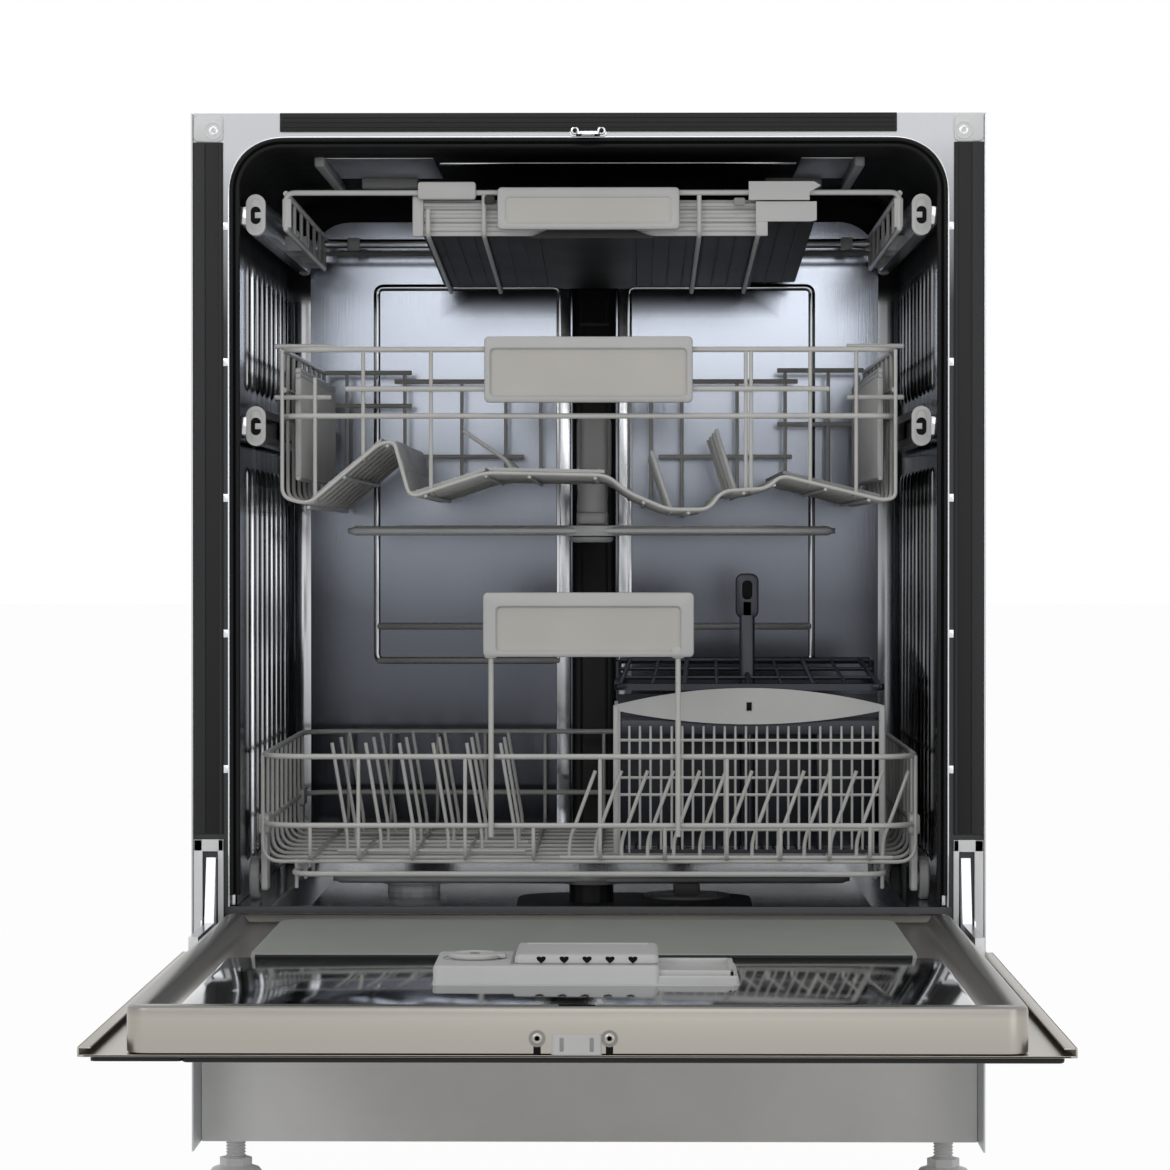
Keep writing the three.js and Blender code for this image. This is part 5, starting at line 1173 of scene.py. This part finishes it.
def lower_handle(r):
    low, high = span("lower_handle")
    piece = Piece("lower_pull", "light_plastic")
    low[2] = 0.405
    pull(piece, low, high, 0.0100, 0.0108, 0.0036, 0.0026, 0.0036)
    for x in (-74, 68):
        piece.add(wire([(x, 25.5, 414), (x, 25.5, 268.5)], r), "wire_coat")
        piece.add(box_mm(x - 5, x + 5, 22, 27.6, 404, 413, 0.0012, 0.002, "y"))
    piece.make("lower_rack", "lower_handle")


def wheel(node):
    low, high = span(node)
    centre = (low + high) / 2
    half, r = (high[0] - low[0]) / 2, (high[2] - low[2]) / 2
    piece = Piece(f"{node}_turned", "mid_plastic")
    tread = [(r - 0.003, -half), (r - 0.0008, -half + 0.0004), (r, -half + 0.0015), (r, half - 0.0015),
            (r - 0.0008, half - 0.0004), (r - 0.003, half), (r - 0.0036, half - 0.0022), (r - 0.0036, -half + 0.0022)]
    piece.add(turned_ring(tread, centre, "x", 40))
    hub = half - 0.001
    piece.add(turned_ring([(0.0043, -hub), (0.0075, -hub), (0.0075, hub), (0.0043, hub)], centre, "x", 28))
    disc = [(0.0065, -0.0011), (r - 0.002, -0.0011), (r - 0.002, 0.0011), (0.0065, 0.0011)]
    piece.add(turned_ring(disc, centre, "x"), "light_plastic")
    for angle in np.linspace(0, 2 * np.pi, 6, endpoint=False):
        reach = np.array((0, math.cos(angle), math.sin(angle)))
        piece.add(rod(centre + reach * 0.007, centre + reach * (r - 0.0025), 0.0016, 8))
    piece.make(node, node, slot="light_plastic")


def cutlery_basket():
    piece = Piece("cutlery_holder", "blue_plastic")
    x0, x1, y0, y1 = 19, 229, 83, 227
    base, top, crown = 251.5, 380, 397
    rect = (x0, x1, y0, y1)
    outer, inner = rounded(rect, 14, 7), rounded(drawn_in(rect, 3.5), 11, 7)
    for z, height in ((base + 1.5, 3), (top, 5)):
        rings = sheet_rings(outer, inner, z - height / 2, z + height / 2, "z")
        piece.add(grid(np.stack([at(*ring) for ring in rings]), wrap_along=True))
    holder_walls(piece, x0, x1, y0, y1, base, top)
    holder_lid(piece, x0, x1, y0, y1, top, crown)
    crescent(piece)
    piece.add(box_mm(118, 130, 149, 161, base, 446, 0.001, 0.003))
    piece.add(box_mm(115, 133, 149, 161, 432, 467.5, 0.0025, 0.006, "y"))
    # A near-black block in the grip for its hollow: painted shade.
    piece.add(box_mm(120, 128, 148, 162, 447, 462, 0.001, 0.0035, "y"), "hole_dark")
    piece.make("lower_rack", "cutlery_basket")


def holder_walls(piece, x0, x1, y0, y1, base, top):
    for y in (y0 + 1, y1 - 1):
        for x in np.arange(x0 + 12, x1 - 8, 8.2):
            piece.add(bar((x, y, base), (x, y, 350), 0.001, 6), "wire_coat")
        for z in (269.7, 296.8, 310, 339):
            piece.add(bar((x0 + 4, y, z), (x1 - 4, y, z), 0.0012, 6), "wire_coat")
        for x in (x0 + 2.5, x1 - 2.5):
            piece.add(box_mm(x - 2.6, x + 2.6, y - 2, y + 2, base, 364, 0.0008), "light_plastic")
    for x in (x0 + 1, x1 - 1):
        for y in np.arange(y0 + 10, y1 - 6, 8.2):
            piece.add(bar((x, y, base), (x, y, 350), 0.001, 6))
        for z in (269.7, 310, 339):
            piece.add(bar((x, y0 + 6, z), (x, y1 - 6, z), 0.0012, 6))
    for x in (71, 124, 177):
        piece.add(box_mm(x - 0.9, x + 0.9, y0 + 3, y1 - 3, base, top - 8, 0.0004))
    piece.add(box_mm(x0 + 3, x1 - 3, 154.1, 155.9, base, top - 8, 0.0004))
    for x in np.arange(x0 + 8, x1 - 4, 9):
        piece.add(bar((x, y0 + 4, base + 1), (x, y1 - 4, base + 1), 0.001, 6))
    for z in (349, 362):
        piece.add(box_mm(x0 + 4, x1 - 4, y0 + 2, y0 + 4, z - 5.5, z + 5.5, 0.0005))


def holder_lid(piece, x0, x1, y0, y1, top, crown):
    """Lid grid: bars that rise from the front edge to an arched rear edge."""
    def level(y):
        return top + (crown - top) * (y - y0) / (y1 - y0)
    for i in range(9):
        x = x0 + 4 + (x1 - x0 - 8) * i / 8
        piece.add(bar((x, y0 + 3, level(y0 + 3)), (x * 0.92 + 10, y1 - 3, level(y1 - 3)), 0.0013 if i % 2 else 0.0022,
                8))
    for y in np.linspace(y0 + 3, y1 - 3, 4):
        thick = 0.0026 if y in (y0 + 3, y1 - 3) else 0.0015
        piece.add(bar((x0 + 4, y, level(y)), (x1 - 4, y, level(y)), thick, 8))
    for x in (x0 + 3, x1 - 3):
        piece.add(bar((x, y1 - 4, top - 2), (x, y1 - 4, crown), 0.0026, 8))


def crescent(piece):
    """Lens-shaped front panel between two curves: a crown above and a deeper belly below."""
    t = np.linspace(-1, 1, 25)
    x = 123.5 + t * 105
    crown = 366 + 13.5 * (1 - t ** 2)
    belly = 362.5 - 11 * (1 - t ** 2)
    bulge = 79.4 + 2.2 * np.concatenate([t, t[::-1]]) ** 2
    across, up = np.concatenate([x, x[::-1]]), np.concatenate([crown, belly[::-1]])
    rings = [at(*np.column_stack([across, bulge + depth, up])) for depth in (0, 2.6)]
    piece.add(capped(np.stack(rings)), "light_plastic")
    # A near-black block for the slot: painted shade.
    piece.add(box_mm(121.5, 125.5, 79, 80.5, 362, 368.5, 0.0003, axis="y"), "hole_dark")
    for sign in (-1, 1):
        piece.add(box_mm(123.5 + sign * 101, 123.5 + sign * 105, 80.5, 85, 251, 366, 0.0008), "light_plastic")


class OBJECT_OT_dishwasher_lower_rack(bpy.types.Operator):
    """Builds the lower rack with its tines, handle, wheels, cutlery basket and spray arm"""

    bl_idname = "object.dishwasher_lower_rack"
    bl_label = "Lower rack"

    def execute(self, context):
        sizes = context.scene.dishwasher_sizes
        piece = Piece("lower_rack_wires", "wire_coat")
        lower_rims(piece, sizes.rim_wire)
        lower_floor(piece, sizes.fine_wire)
        tines(piece, sizes.fine_wire, sizes.tine_height * 1000)
        axles(piece)
        piece.make("lower_rack", "lower_basket")
        lower_handle(sizes.rim_wire)
        for place in CORNERS:
            wheel(f"basket_wheel_{place}")
        cutlery_basket()
        spray_arm("lower_spray_arm", "lower_arm", 12, "lower_arm_blade", "mid_plastic")
        return {"FINISHED"}


# Tub floor


def filter_cup():
    (x0, y0, z0), (x1, y1, z1) = span("filter_cup")
    centre = middle(x0, x1, y0, y1)
    r, top, base = (x1 - x0) / 2, 0.203, z0
    piece = Piece("filter_mesh_cup", "mid_plastic")
    wall = [(r - 0.0022, top - 0.001), (r, top - 0.001), (r, top - 0.004), (r - 0.008, top - 0.0045),
            (r - 0.009, base), (r - 0.0105, base), (r - 0.0105, top - 0.006)]
    piece.add(turned_ring(wall, centre, "z", 48))
    piece.add(lathe([(0.0001, base), (r - 0.0095, base), (r - 0.0095, base + 0.002), (0.0001, base + 0.002)], centre,
            "z", 48))
    for z in np.linspace(base + 0.006, top - 0.010, 9):
        ring = [(r - 0.0097, z), (r - 0.0078, z), (r - 0.0078, z + 0.0014), (r - 0.0097, z + 0.0014)]
        piece.add(turned_ring(ring, centre, "z", 48))
    piece.add(slab(centre + (-(r - 0.01), -0.0022, 0.197), centre + (r - 0.01, 0.0022, 0.2035), 0.001))
    piece.add(slab(centre + (-0.011, -0.003, 0.2), centre + (0.011, 0.003, z1), 0.0015, 0.002))
    piece.make("filter", "filter_cup", slot="light_plastic")


def salt_cap():
    (x0, y0, z0), (x1, y1, z1) = span("salt_cap")
    centre = middle(x0, x1, y0, y1)
    r, base = (x1 - x0) / 2, 0.2063
    piece = Piece("salt_cap_ribbed", "light_plastic")
    piece.add(lathe([(0.0145, z0), (0.015, base), (r - 0.0006, base), (r, base + 0.0008), (r, z1 - 0.0026),
            (r - 0.002, z1 - 0.0012), (r - 0.006, z1 - 0.001), (r - 0.007, z1 - 0.0026), (0.001, z1 - 0.0026)], centre,
            "z", 48))
    piece.add(slab(centre + (-(r - 0.008), -0.003, z1 - 0.003), centre + (r - 0.008, 0.003, z1), 0.0012, 0.0015))
    for angle in np.linspace(0, 2 * np.pi, 36, endpoint=False):
        place = centre + (r * 0.995 * math.cos(angle), r * 0.995 * math.sin(angle), 0)
        piece.add(rod(place + (0, 0, base + 0.001), place + (0, 0, z1 - 0.003), 0.0007, 6))
    piece.make("salt_cap", "salt_cap")


class OBJECT_OT_dishwasher_sump(bpy.types.Operator):
    """Builds the filter cup with its mesh and grip, and the salt cap"""

    bl_idname = "object.dishwasher_sump"
    bl_label = "Filter and salt cap"

    def execute(self, context):
        filter_cup()
        salt_cap()
        return {"FINISHED"}


# Door

# Half width of the striker's slot
DOOR_SLOT = 0.0110


def door_pan():
    """Inner door: the rim's outline steps down to a recess and up again to a broad middle panel."""
    (x0, y0, z0), (x1, y1, z1) = PAN_LOW, PAN_HIGH
    rect, top = (x0, x1, y0, y1), z1
    stops = [(z0, 0.0012), (z0 + 0.001, 0), (top - 0.0035, 0), (top - 0.0012, 0.0006), (top - 0.0002, 0.0022),
            (top, 0.004), (top, 0.0125), (top - 0.0008, 0.0142), (top - 0.005, 0.0178), (top - 0.006, 0.02),
            (top - 0.006, 0.026)]
    piece = Piece("door_pan", "door_steel")
    rings = [slotted(rect, s) for level, s in stops]
    verts, faces = capped(np.stack([lifted(ring, level, "z") for ring, (level, s) in zip(rings, stops)]))
    count, row = len(rings[0]), 5
    slot = row * count + count - 2
    faces[0] = np.delete(faces[0], slot, axis=0)
    mouth = verts[[slot, slot + 1, slot + 1 + count, slot + count]]
    room = mouth + np.array([0, 0, 1, 1])[:, None] * (0, 0.0125, 0)
    well, (walls, _, bottom) = capped(np.stack([mouth, mouth - (0, 0, 0.012), room - (0, 0, 0.0122),
            room - (0, 0, 0.0272)]))
    piece.add((verts, faces))
    # The slot's well in near-black: painted shade in the recess.
    piece.add((well, [walls, bottom]), "hole_dark")
    floor = top - 0.0046
    split, back = FRONT - 0.288, y1 - 0.030
    piece.add(plate((x0 + 0.028, x1 - 0.028, y0 + 0.028, split), 0.01,
            [(floor - 0.0016, 0), (floor - 0.0006, 0), (floor - 0.0004, 0.0008)], "z"), "mirror_steel")
    piece.add(plate((x0 + 0.043, x1 - 0.043, split, back), 0.012,
            [(floor - 0.0014, 0), (floor + 0.002, 0.001), (floor + 0.0026, 0.003)], "z"), "olive_plastic")
    # A dark strip along the raised panel's front step: painted shadow.
    piece.add(slab((x0 + 0.047, split - 0.0012, floor - 0.0006), (x1 - 0.047, split + 0.0008, floor + 0.0014), 0.0004,
            axis="y"), "dark_plastic")
    for x in (-0.0237, 0.0196):
        place = np.array((x, y0, 0.195))
        piece.add(lathe([(0.0001, -0.0004), (0.0051, -0.0004), (0.0051, 0.001), (0.0001, 0.001)], place, "y", 22),
                "mid_plastic")
        piece.add(slab(place + (-0.0022, -0.0003, -0.0105), place + (0.0022, 0.001, -0.003), 0.0002, axis="y"),
                "hole_dark")
        piece.add(screw_head(place + (0, -0.0004, 0), 0.0034, 0.001))
    piece.make("door", "door_liner", smooth=40)


def slotted(rect, inset):
    """Rounded rectangle whose near edge has two more points, where the slot for the striker ends."""
    outline = rounded(drawn_in(rect, inset), 0.014 - inset, 8)
    return np.vstack([outline, [(-DOOR_SLOT, rect[2] + inset), (DOOR_SLOT, rect[2] + inset)]])


def door_skin():
    (x0, y0, z0), (x1, y1, z1) = SKIN_LOW, SKIN_HIGH
    face, thick = z0, SHEET
    piece = Piece("door_outer_sheet", "door_steel")
    piece.add(plate((x0, x1, y0, FRONT - 0.001), 0.004, [(face, 0.0008), (face + 0.0004, 0), (face + thick, 0)], "z",
            5))
    tail = x0 + 0.0018
    piece.add(slab((tail, FRONT - 0.003, face + 0.0001), (-tail, y1, face + thick), 0.0004))
    back = FRONT - 0.060
    for sign in (-1, 1):
        piece.add(slab((sign * 0.299, y0, face + 0.0002), (sign * 0.2978, back, z1), 0.0004, axis="x"))
        piece.add(slab((sign * 0.299, y0 + 0.001, z1 - 0.0012), (sign * 0.291, back - 0.001, z1), 0.0004))
    piece.add(slab((x0 + 0.001, y0, face + 0.0002), (x1 - 0.001, y0 + 0.0008, PAN_LOW[2]), 0.0003, axis="y"))
    piece.make("door", "door_skin")


def dispenser():
    (x0, y0, z0), (x1, y1, z1) = span("dispenser_body")
    lid_low, lid_high = span("detergent_lid")
    piece = Piece("dispenser_block", "light_plastic")
    top, track = z1, 0.215
    left_edge, right_edge = lid_low[0] - 0.0003, lid_high[0] + 0.0003
    flange = PAN_HIGH[2] - 0.0058
    piece.add(plate(drawn_in((x0, x1, y0, y1), -0.001), 0.008,
            [(z0, 0.003), (flange, 0.003), (flange + 0.0004, 0), (flange + 0.0016, 0), (flange + 0.002, 0.0012)], "z"))
    piece.add(plate((x0, right_edge, y0, y1), 0.0035, [(z0 + 0.001, 0), (top - 0.0022, 0), (top - 0.0006, 0.0006),
            (top, 0.002)], "z", 8))
    piece.add(plate((right_edge - 0.004, x1, y0 + 0.002, y1 - 0.002), 0.003,
            [(z0 + 0.001, 0), (track - 0.001, 0), (track, 0.001)], "z", 7))
    for y in (y0 + 0.006, y1 - 0.010):
        piece.add(slab((right_edge - 0.002, y, track - 0.001), (x1 - 0.002, y + 0.004, track + 0.0035), 0.001))
    piece.add(slab((x1 - 0.006, y0 + 0.006, track - 0.001), (x1 - 0.002, y1 - 0.006, track + 0.0035), 0.001))
    piece.add(slab((left_edge - 0.0025, y0 + 0.004, top - 0.0006), (left_edge - 0.0005, y1 - 0.004, top + 0.0006),
            0.0004), "mid_plastic")
    ring = [(0.0195, top - 0.0006), (0.0210, top - 0.0006), (0.0206, top + 0.0004), (0.0199, top + 0.0004)]
    cap_low, cap_high = span("rinse_aid_cap")
    centre = (cap_high[0] - 0.0205, (cap_low[1] + cap_high[1]) / 2, 0)
    piece.add(turned_ring(ring, centre, "z", 40), "mid_plastic")
    piece.make("door", "dispenser_body")


def detergent_lid():
    """Sliding lid: a crowned plate with a grip lip and a row of five dark heart-shaped marks."""
    (x0, y0, z0), (x1, y1, z1) = span("detergent_lid")
    piece = Piece("detergent_lid_crowned", "light_plastic")
    stops = [(z0, 0.0006), (z0 + 0.0008, 0), (z1 - 0.0034, 0), (z1 - 0.0014, 0.0009), (z1 - 0.0006, 0.0024),
            (z1 - 0.0004, 0.006), (z1 - 0.0004, 0.012)]
    piece.add(plate((x0, x1, y0, y1), 0.0035, stops, "z", 8))
    piece.add(slab((x0 + 0.006, y1 - 0.012, z1 - 0.0012), (x1 - 0.006, y1 - 0.006, z1), 0.0006, 0.001))
    t = np.linspace(0, 2 * np.pi, 20, endpoint=False)
    heart = np.column_stack([0.003 * np.sin(t) ** 3,
            0.0026 * np.cos(t) - 0.0009 * np.cos(2 * t) - 0.0003 * np.cos(3 * t)])
    z = (z0 + z1) / 2 - 0.0004
    for x in (-25, -10.3, 4.3, 19, 33.6):
        marks = heart * (1, 0.85) + (x / 1000, z)
        piece.add(prism(marks, (y0 - 0.0003, y0 + 0.0012), "y"), "hole_dark")
    piece.make("detergent_lid", "detergent_lid")


def rinse_cap():
    (x0, y0, z0), (x1, y1, z1) = span("rinse_aid_cap")
    radius = 0.017
    centre = np.array([x0 + radius, (y0 + y1) / 2, 0])
    piece = Piece("rinse_cap_flap", "light_plastic")
    piece.add(lathe([(radius - 0.0008, z0), (radius, z0 + 0.0008), (radius, z1 - 0.0014),
            (radius - 0.0012, z1 - 0.0004), (radius - 0.004, z1), (radius - 0.0052, z1 - 0.0008),
            (0.001, z1 - 0.0006)], centre, "z", 40))
    piece.add(slab((centre[0] + radius - 0.004, centre[1] - 0.006, z0 + 0.0002), (x1, centre[1] + 0.006, z1 - 0.0006),
            0.0006, 0.001))
    t = np.linspace(0, 2 * np.pi, 16, endpoint=False)
    drop = np.column_stack([0.0032 * np.sin(t) * (1 - 0.35 * np.cos(t)), 0.0042 * np.cos(t)]) + centre[:2]
    piece.add(prism(drop, (z1 - 0.0008, z1 - 0.0002), "z"), "mid_plastic")
    piece.make("rinse_aid_cap", "rinse_aid_cap")


def latch_cover():
    (x0, y0, z0), (x1, y1, z1) = span("latch_housing")
    piece = Piece("latch_cover", "light_plastic")
    wall = 0.003
    slot = (-0.0105, 0.0105, y0 + wall, y1 - wall)
    outer = rounded((x0, x1, y0 - 0.0004, y1), 0.003)
    piece.add(holed_sheet(outer, rounded(slot, 0.002), z0, z1, "z"))
    piece.add(slab((x0 + 0.001, y0, z0), (x1 - 0.001, y1, z0 + 0.0022), 0.0004))
    for x in (-0.009, 0.009):
        piece.add(slab((x - 0.0012, y0 - 0.0008, z0 + 0.002), (x + 0.0012, y0 + 0.001, z1 - 0.002), 0.0004, axis="y"),
                "mid_plastic")
    piece.make("door", "latch_housing")


def fascia():
    (x0, y0, z0), (x1, y1, z1) = span("control_fascia")
    piece = Piece("control_panel", "dark_plastic")
    (left, near, face), (right, far, back) = span("power_button")
    radius, centre = (right - left) / 2, middle(left, right, near, far)
    outer_x = centre[0] + radius + 0.004
    rows = [(z0, 0.0014), (z0 + 0.0004, 0.0004), (z0 + 0.0014, 0), (z1, 0)]
    piece.add(plate((outer_x, x1, y0, y1), 0.004, rows, "z"))
    square = rounded((x0, outer_x + 0.0005, y0, y1), 0.004, 9)
    angle = np.arctan2(square[:, 1] - centre[1], square[:, 0] - centre[0])
    hole = centre[:2] + (radius + 0.0004) * np.column_stack([np.cos(angle), np.sin(angle)])
    piece.add(holed_sheet(square, hole, z0 + 0.0008, z1, "z"))
    piece.add(slab((-0.06, y0 + 0.022, z0 - 0.0001), (0.06, y0 + 0.048, z0 + 0.001), 0.0004, 0.003), "hole_dark")
    for x in np.linspace(0.10, 0.24, 5):
        place = (x, (y0 + y1) / 2, 0)
        piece.add(lathe([(0.0062, z0 + 0.001), (0.0062, z0 - 0.0004), (0.005, z0 - 0.0008), (0.001, z0 - 0.0006)],
                place, "z", 24), "edge_plastic")
    piece.make("door", "control_fascia")
    piece = Piece("power_button_cap", "mid_plastic")
    piece.add(lathe([(radius, back), (radius, face + 0.0008), (radius - 0.0008, face), (radius - 0.003, face + 0.0002),
            (0.001, face + 0.0009)], centre, "z"))
    piece.make("power_button", "power_button")


def springs(coils):
    for side, sign in SIDES:
        x = sign * 283.5
        start, end = at((x, 10, 247.6), (x, 296, 199.4))
        along = (end - start) / np.linalg.norm(end - start)
        first, last = start + along * 0.034, end - along * 0.040
        piece = Piece(f"hinge_coil_{side}", "bright_steel")
        piece.add(coil(first, last, 0.0043, 0.001, coils))
        for a, b in ((start, first + along * 0.003), (last - along * 0.003, end)):
            piece.add(rod(a, b, 0.0014))
        made = piece.make("cabinet", f"hinge_spring_{side}")
        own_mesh(made)


class OBJECT_OT_dishwasher_door(bpy.types.Operator):
    """Builds the door: pan, skin, dispenser, latch, fascia, button and springs"""

    bl_idname = "object.dishwasher_door"
    bl_label = "Door"

    def execute(self, context):
        door_pan()
        door_skin()
        dispenser()
        detergent_lid()
        rinse_cap()
        latch_cover()
        fascia()
        springs(context.scene.dishwasher_sizes.spring_coils)
        return {"FINISHED"}


# Casing


def pressed(rect, face, axis, inward):
    """Sheet whose middle panels are pressed inwards, as a loft with a shallow step."""
    thick, step = 0.0012, inward * 0.0006
    return plate(rect, 0.002, [(face + inward * thick, 0.0004), (face, 0), (face, 0.034), (face + step, 0.038),
            (face + step, 0.06)], axis)


def side_panel(side, sign):
    (x0, y0, z0), (x1, y1, z1) = span(f"side_panel_{side}")
    face = x1 if sign > 0 else x0
    piece = Piece(f"side_sheet_{side}", "sheet_steel")
    piece.add(pressed((y0, y1, z0, z1), face, "x", -sign))
    for z in (0.30, 0.43, 0.56, 0.69):
        piece.add(rod((face - sign * 0.0006, y0 + 0.075, z), (face - sign * 0.0006, y1 - 0.075, z), 0.0011))
    for z in (z0 + 0.030, z1 - 0.012):
        for y in (y0 + 0.018, y1 - 0.018):
            piece.add(lathe([(0.0001, 0), (0.0036, 0), (0.0042, -sign * 0.0006)], (face + sign * 0.0004, y, z), "x",
                    18), "bright_steel")
    piece.make("cabinet", f"side_panel_{side}")


def rear_cover():
    (x0, y0, _), (x1, y1, z1) = span("rear_cover")
    piece = Piece("rear_sheet", "sheet_steel")
    face, base = y1, 0.193
    piece.add(pressed((x0, x1, base, z1), face, "y", -1))
    piece.add(slab((x0, y0, z1 - 0.0012), (x1, y1, z1), 0.0003))
    for x in (-0.16, 0, 0.16):
        piece.add(rod((x, face - 0.0006, base + 0.09), (x, face - 0.0006, z1 - 0.09), 0.0014))
    for x in np.linspace(x0 + 0.02, x1 - 0.02, 5):
        for z in (base + 0.012, z1 - 0.012):
            piece.add(lathe([(0.0042, -0.0004), (0.004, 0.0004), (0.003, 0.0008), (0.001, 0.0009)], (x, face, z), "y",
                    18), "bright_steel")
    piece.make("cabinet", "rear_cover")


def foot(node):
    (x0, y0, _), (x1, y1, z1) = span(node)
    centre = middle(x0, x1, y0, y1)
    r = (x1 - x0) / 2
    piece = Piece(f"{node}_turned", "white_plastic")
    piece.add(lathe([(r - 0.001, 0), (r, 0.001), (r, 0.006), (r - 0.002, 0.0085), (0.01, 0.011), (0.0092, 0.013)],
            centre, "z", 36))
    levels = np.arange(0.012, z1 - 0.001, 0.0012)
    stem = [(0.0078 if i % 2 else 0.0066, z) for i, z in enumerate(levels)]
    piece.add(lathe(stem, centre, "z", 24))
    t = np.arange(6) * np.pi / 3
    piece.add(prism(centre[:2] + 0.0125 * np.column_stack([np.cos(t), np.sin(t)]), (0.0105, 0.0165), "z"))
    piece.make(node, node)


class OBJECT_OT_dishwasher_casing(bpy.types.Operator):
    """Builds the side sheets and the rear cover with their pressed panels, and the feet"""

    bl_idname = "object.dishwasher_casing"
    bl_label = "Casing"

    def execute(self, context):
        for side, sign in SIDES:
            side_panel(side, sign)
        rear_cover()
        for place in CORNERS:
            foot(f"foot_{place}")
        return {"FINISHED"}


# Stage


class OBJECT_OT_dishwasher_stage(bpy.types.Operator):
    """Builds the pale floor, the world, the lamps and the camera"""

    bl_idname = "object.dishwasher_stage"
    bl_label = "Stage"

    CAMERA_PLACE = (0.033, -2.9495, 0.490)
    CAMERA_TURN = (math.radians(90 - 0.575), 0, math.radians(0.675))
    LENS = 122.68
    GLOW = 0.97

    def execute(self, context):
        context.scene.view_settings.view_transform = "Standard"
        self.floor(context)
        self.world(context)
        self.lamps(context)
        self.camera(context)
        return {"FINISHED"}

    def seen_directly(self, s):
        """One where a ray comes from the camera, a mirror or glass, else zero."""
        camera, mirror, glass = (s.node("ShaderNodeLightPath", output=f"Is {kind} Ray")
                for kind in ("Camera", "Glossy", "Transmission"))
        return camera.maths("MAXIMUM", camera.maths("MAXIMUM", camera, mirror), glass)

    def mixed(self, s, factor, first, second, kind):
        """Ends a tree with a mix of two shaders."""
        s.node(kind, values={"Surface": s.node("ShaderNodeMixShader", values={0: factor, 1: first, 2: second})})

    def floor(self, context):
        s = Shader("pale_floor", bare=True)
        paint = s.node("ShaderNodeBsdfDiffuse", values={"Color": (0.9, 0.9, 0.9, 1)})
        glow = s.node("ShaderNodeEmission", values={"Strength": 1.0})
        self.mixed(s, self.seen_directly(s) * self.GLOW, paint, glow, "ShaderNodeOutputMaterial")
        mesh = bpy.data.meshes.new("pale_floor")
        r = 30.0
        mesh.from_pydata([(-r, -r, 0), (r, -r, 0), (r, r, 0), (-r, r, 0)], [], [(0, 1, 2, 3)])
        mesh.materials.append(s.owner)
        floor = bpy.data.objects.new("pale_floor", mesh)
        context.scene.collection.objects.link(floor)

    def world(self, context):
        s = Shader("pale_world", bpy.data.worlds.new("pale_world"), True)
        dim, white = (s.node("ShaderNodeBackground", values={"Color": (1, 1, 1, 1), "Strength": strength})
                for strength in (0.34, 1.0))
        self.mixed(s, self.seen_directly(s), dim, white, "ShaderNodeOutputWorld")
        context.scene.world = s.owner

    def lamps(self, context):
        for name, place, aim, size, power in (
                ("key", (-1.7, -2.9, 1.9), (0, 0.1, 0.5), 1.5, 17), ("fill", (2.0, -2.8, 1.1), (0, 0.2, 0.5), 1.6, 8),
                ("top", (0, -0.9, 3.0), (0, 0, 0.3), 2.0, 9), ("low", (0.2, -3.6, 1.55), (0, 0, 0.35), 1.2, 9)):
            data = bpy.data.lights.new(name, "AREA")
            data.shape, data.size, data.energy = "SQUARE", size, power
            lamp = bpy.data.objects.new(name, data)
            lamp.location = place
            look = np.array(aim) - np.array(place)
            flat = math.hypot(look[0], look[1])
            lamp.rotation_euler = (math.atan2(flat, -look[2]), 0, math.atan2(look[1], look[0]) - math.pi / 2)
            context.scene.collection.objects.link(lamp)

    def camera(self, context):
        data = bpy.data.cameras.new("front_camera")
        data.lens, data.sensor_width, data.sensor_fit = self.LENS, 36, "HORIZONTAL"
        data.clip_start, data.clip_end = 0.05, 100
        camera = bpy.data.objects.new("front_camera", data)
        camera.location, camera.rotation_euler = self.CAMERA_PLACE, self.CAMERA_TURN
        context.scene.collection.objects.link(camera)
        context.scene.camera = camera


# Add-on

STEPS = ("finishes", "front", "tub", "rails", "tray", "upper_rack", "lower_rack", "sump", "door", "casing", "stage")


class VIEW3D_PT_dishwasher(bpy.types.Panel):
    """Lists the pieces of the dishwasher and their settings"""

    bl_label = "Dishwasher"
    bl_space_type = "VIEW_3D"
    bl_region_type = "UI"
    bl_category = "Dishwasher"

    def draw(self, context):
        layout = self.layout
        for group in (context.scene.dishwasher_sizes, context.scene.dishwasher_colours):
            box = layout.box()
            for name in group.bl_rna.properties.keys():
                if name not in ("rna_type", "name"):
                    box.prop(group, name)
        for step in STEPS:
            layout.operator(f"object.dishwasher_{step}")


CLASSES = (DishwasherSizes, DishwasherColours, OBJECT_OT_dishwasher_finishes, OBJECT_OT_dishwasher_front,
        OBJECT_OT_dishwasher_tub, OBJECT_OT_dishwasher_rails, OBJECT_OT_dishwasher_tray,
        OBJECT_OT_dishwasher_upper_rack, OBJECT_OT_dishwasher_lower_rack, OBJECT_OT_dishwasher_sump,
        OBJECT_OT_dishwasher_door, OBJECT_OT_dishwasher_casing, OBJECT_OT_dishwasher_stage, VIEW3D_PT_dishwasher)


def register():
    for cls in CLASSES:
        bpy.utils.register_class(cls)
    bpy.types.Scene.dishwasher_sizes = PointerProperty(type=DishwasherSizes)
    bpy.types.Scene.dishwasher_colours = PointerProperty(type=DishwasherColours)


def unregister():
    del bpy.types.Scene.dishwasher_colours
    del bpy.types.Scene.dishwasher_sizes
    for cls in reversed(CLASSES):
        bpy.utils.unregister_class(cls)


def main():
    register()
    for step in STEPS:
        getattr(bpy.ops.object, f"dishwasher_{step}")()


if __name__ == "__main__":
    main()
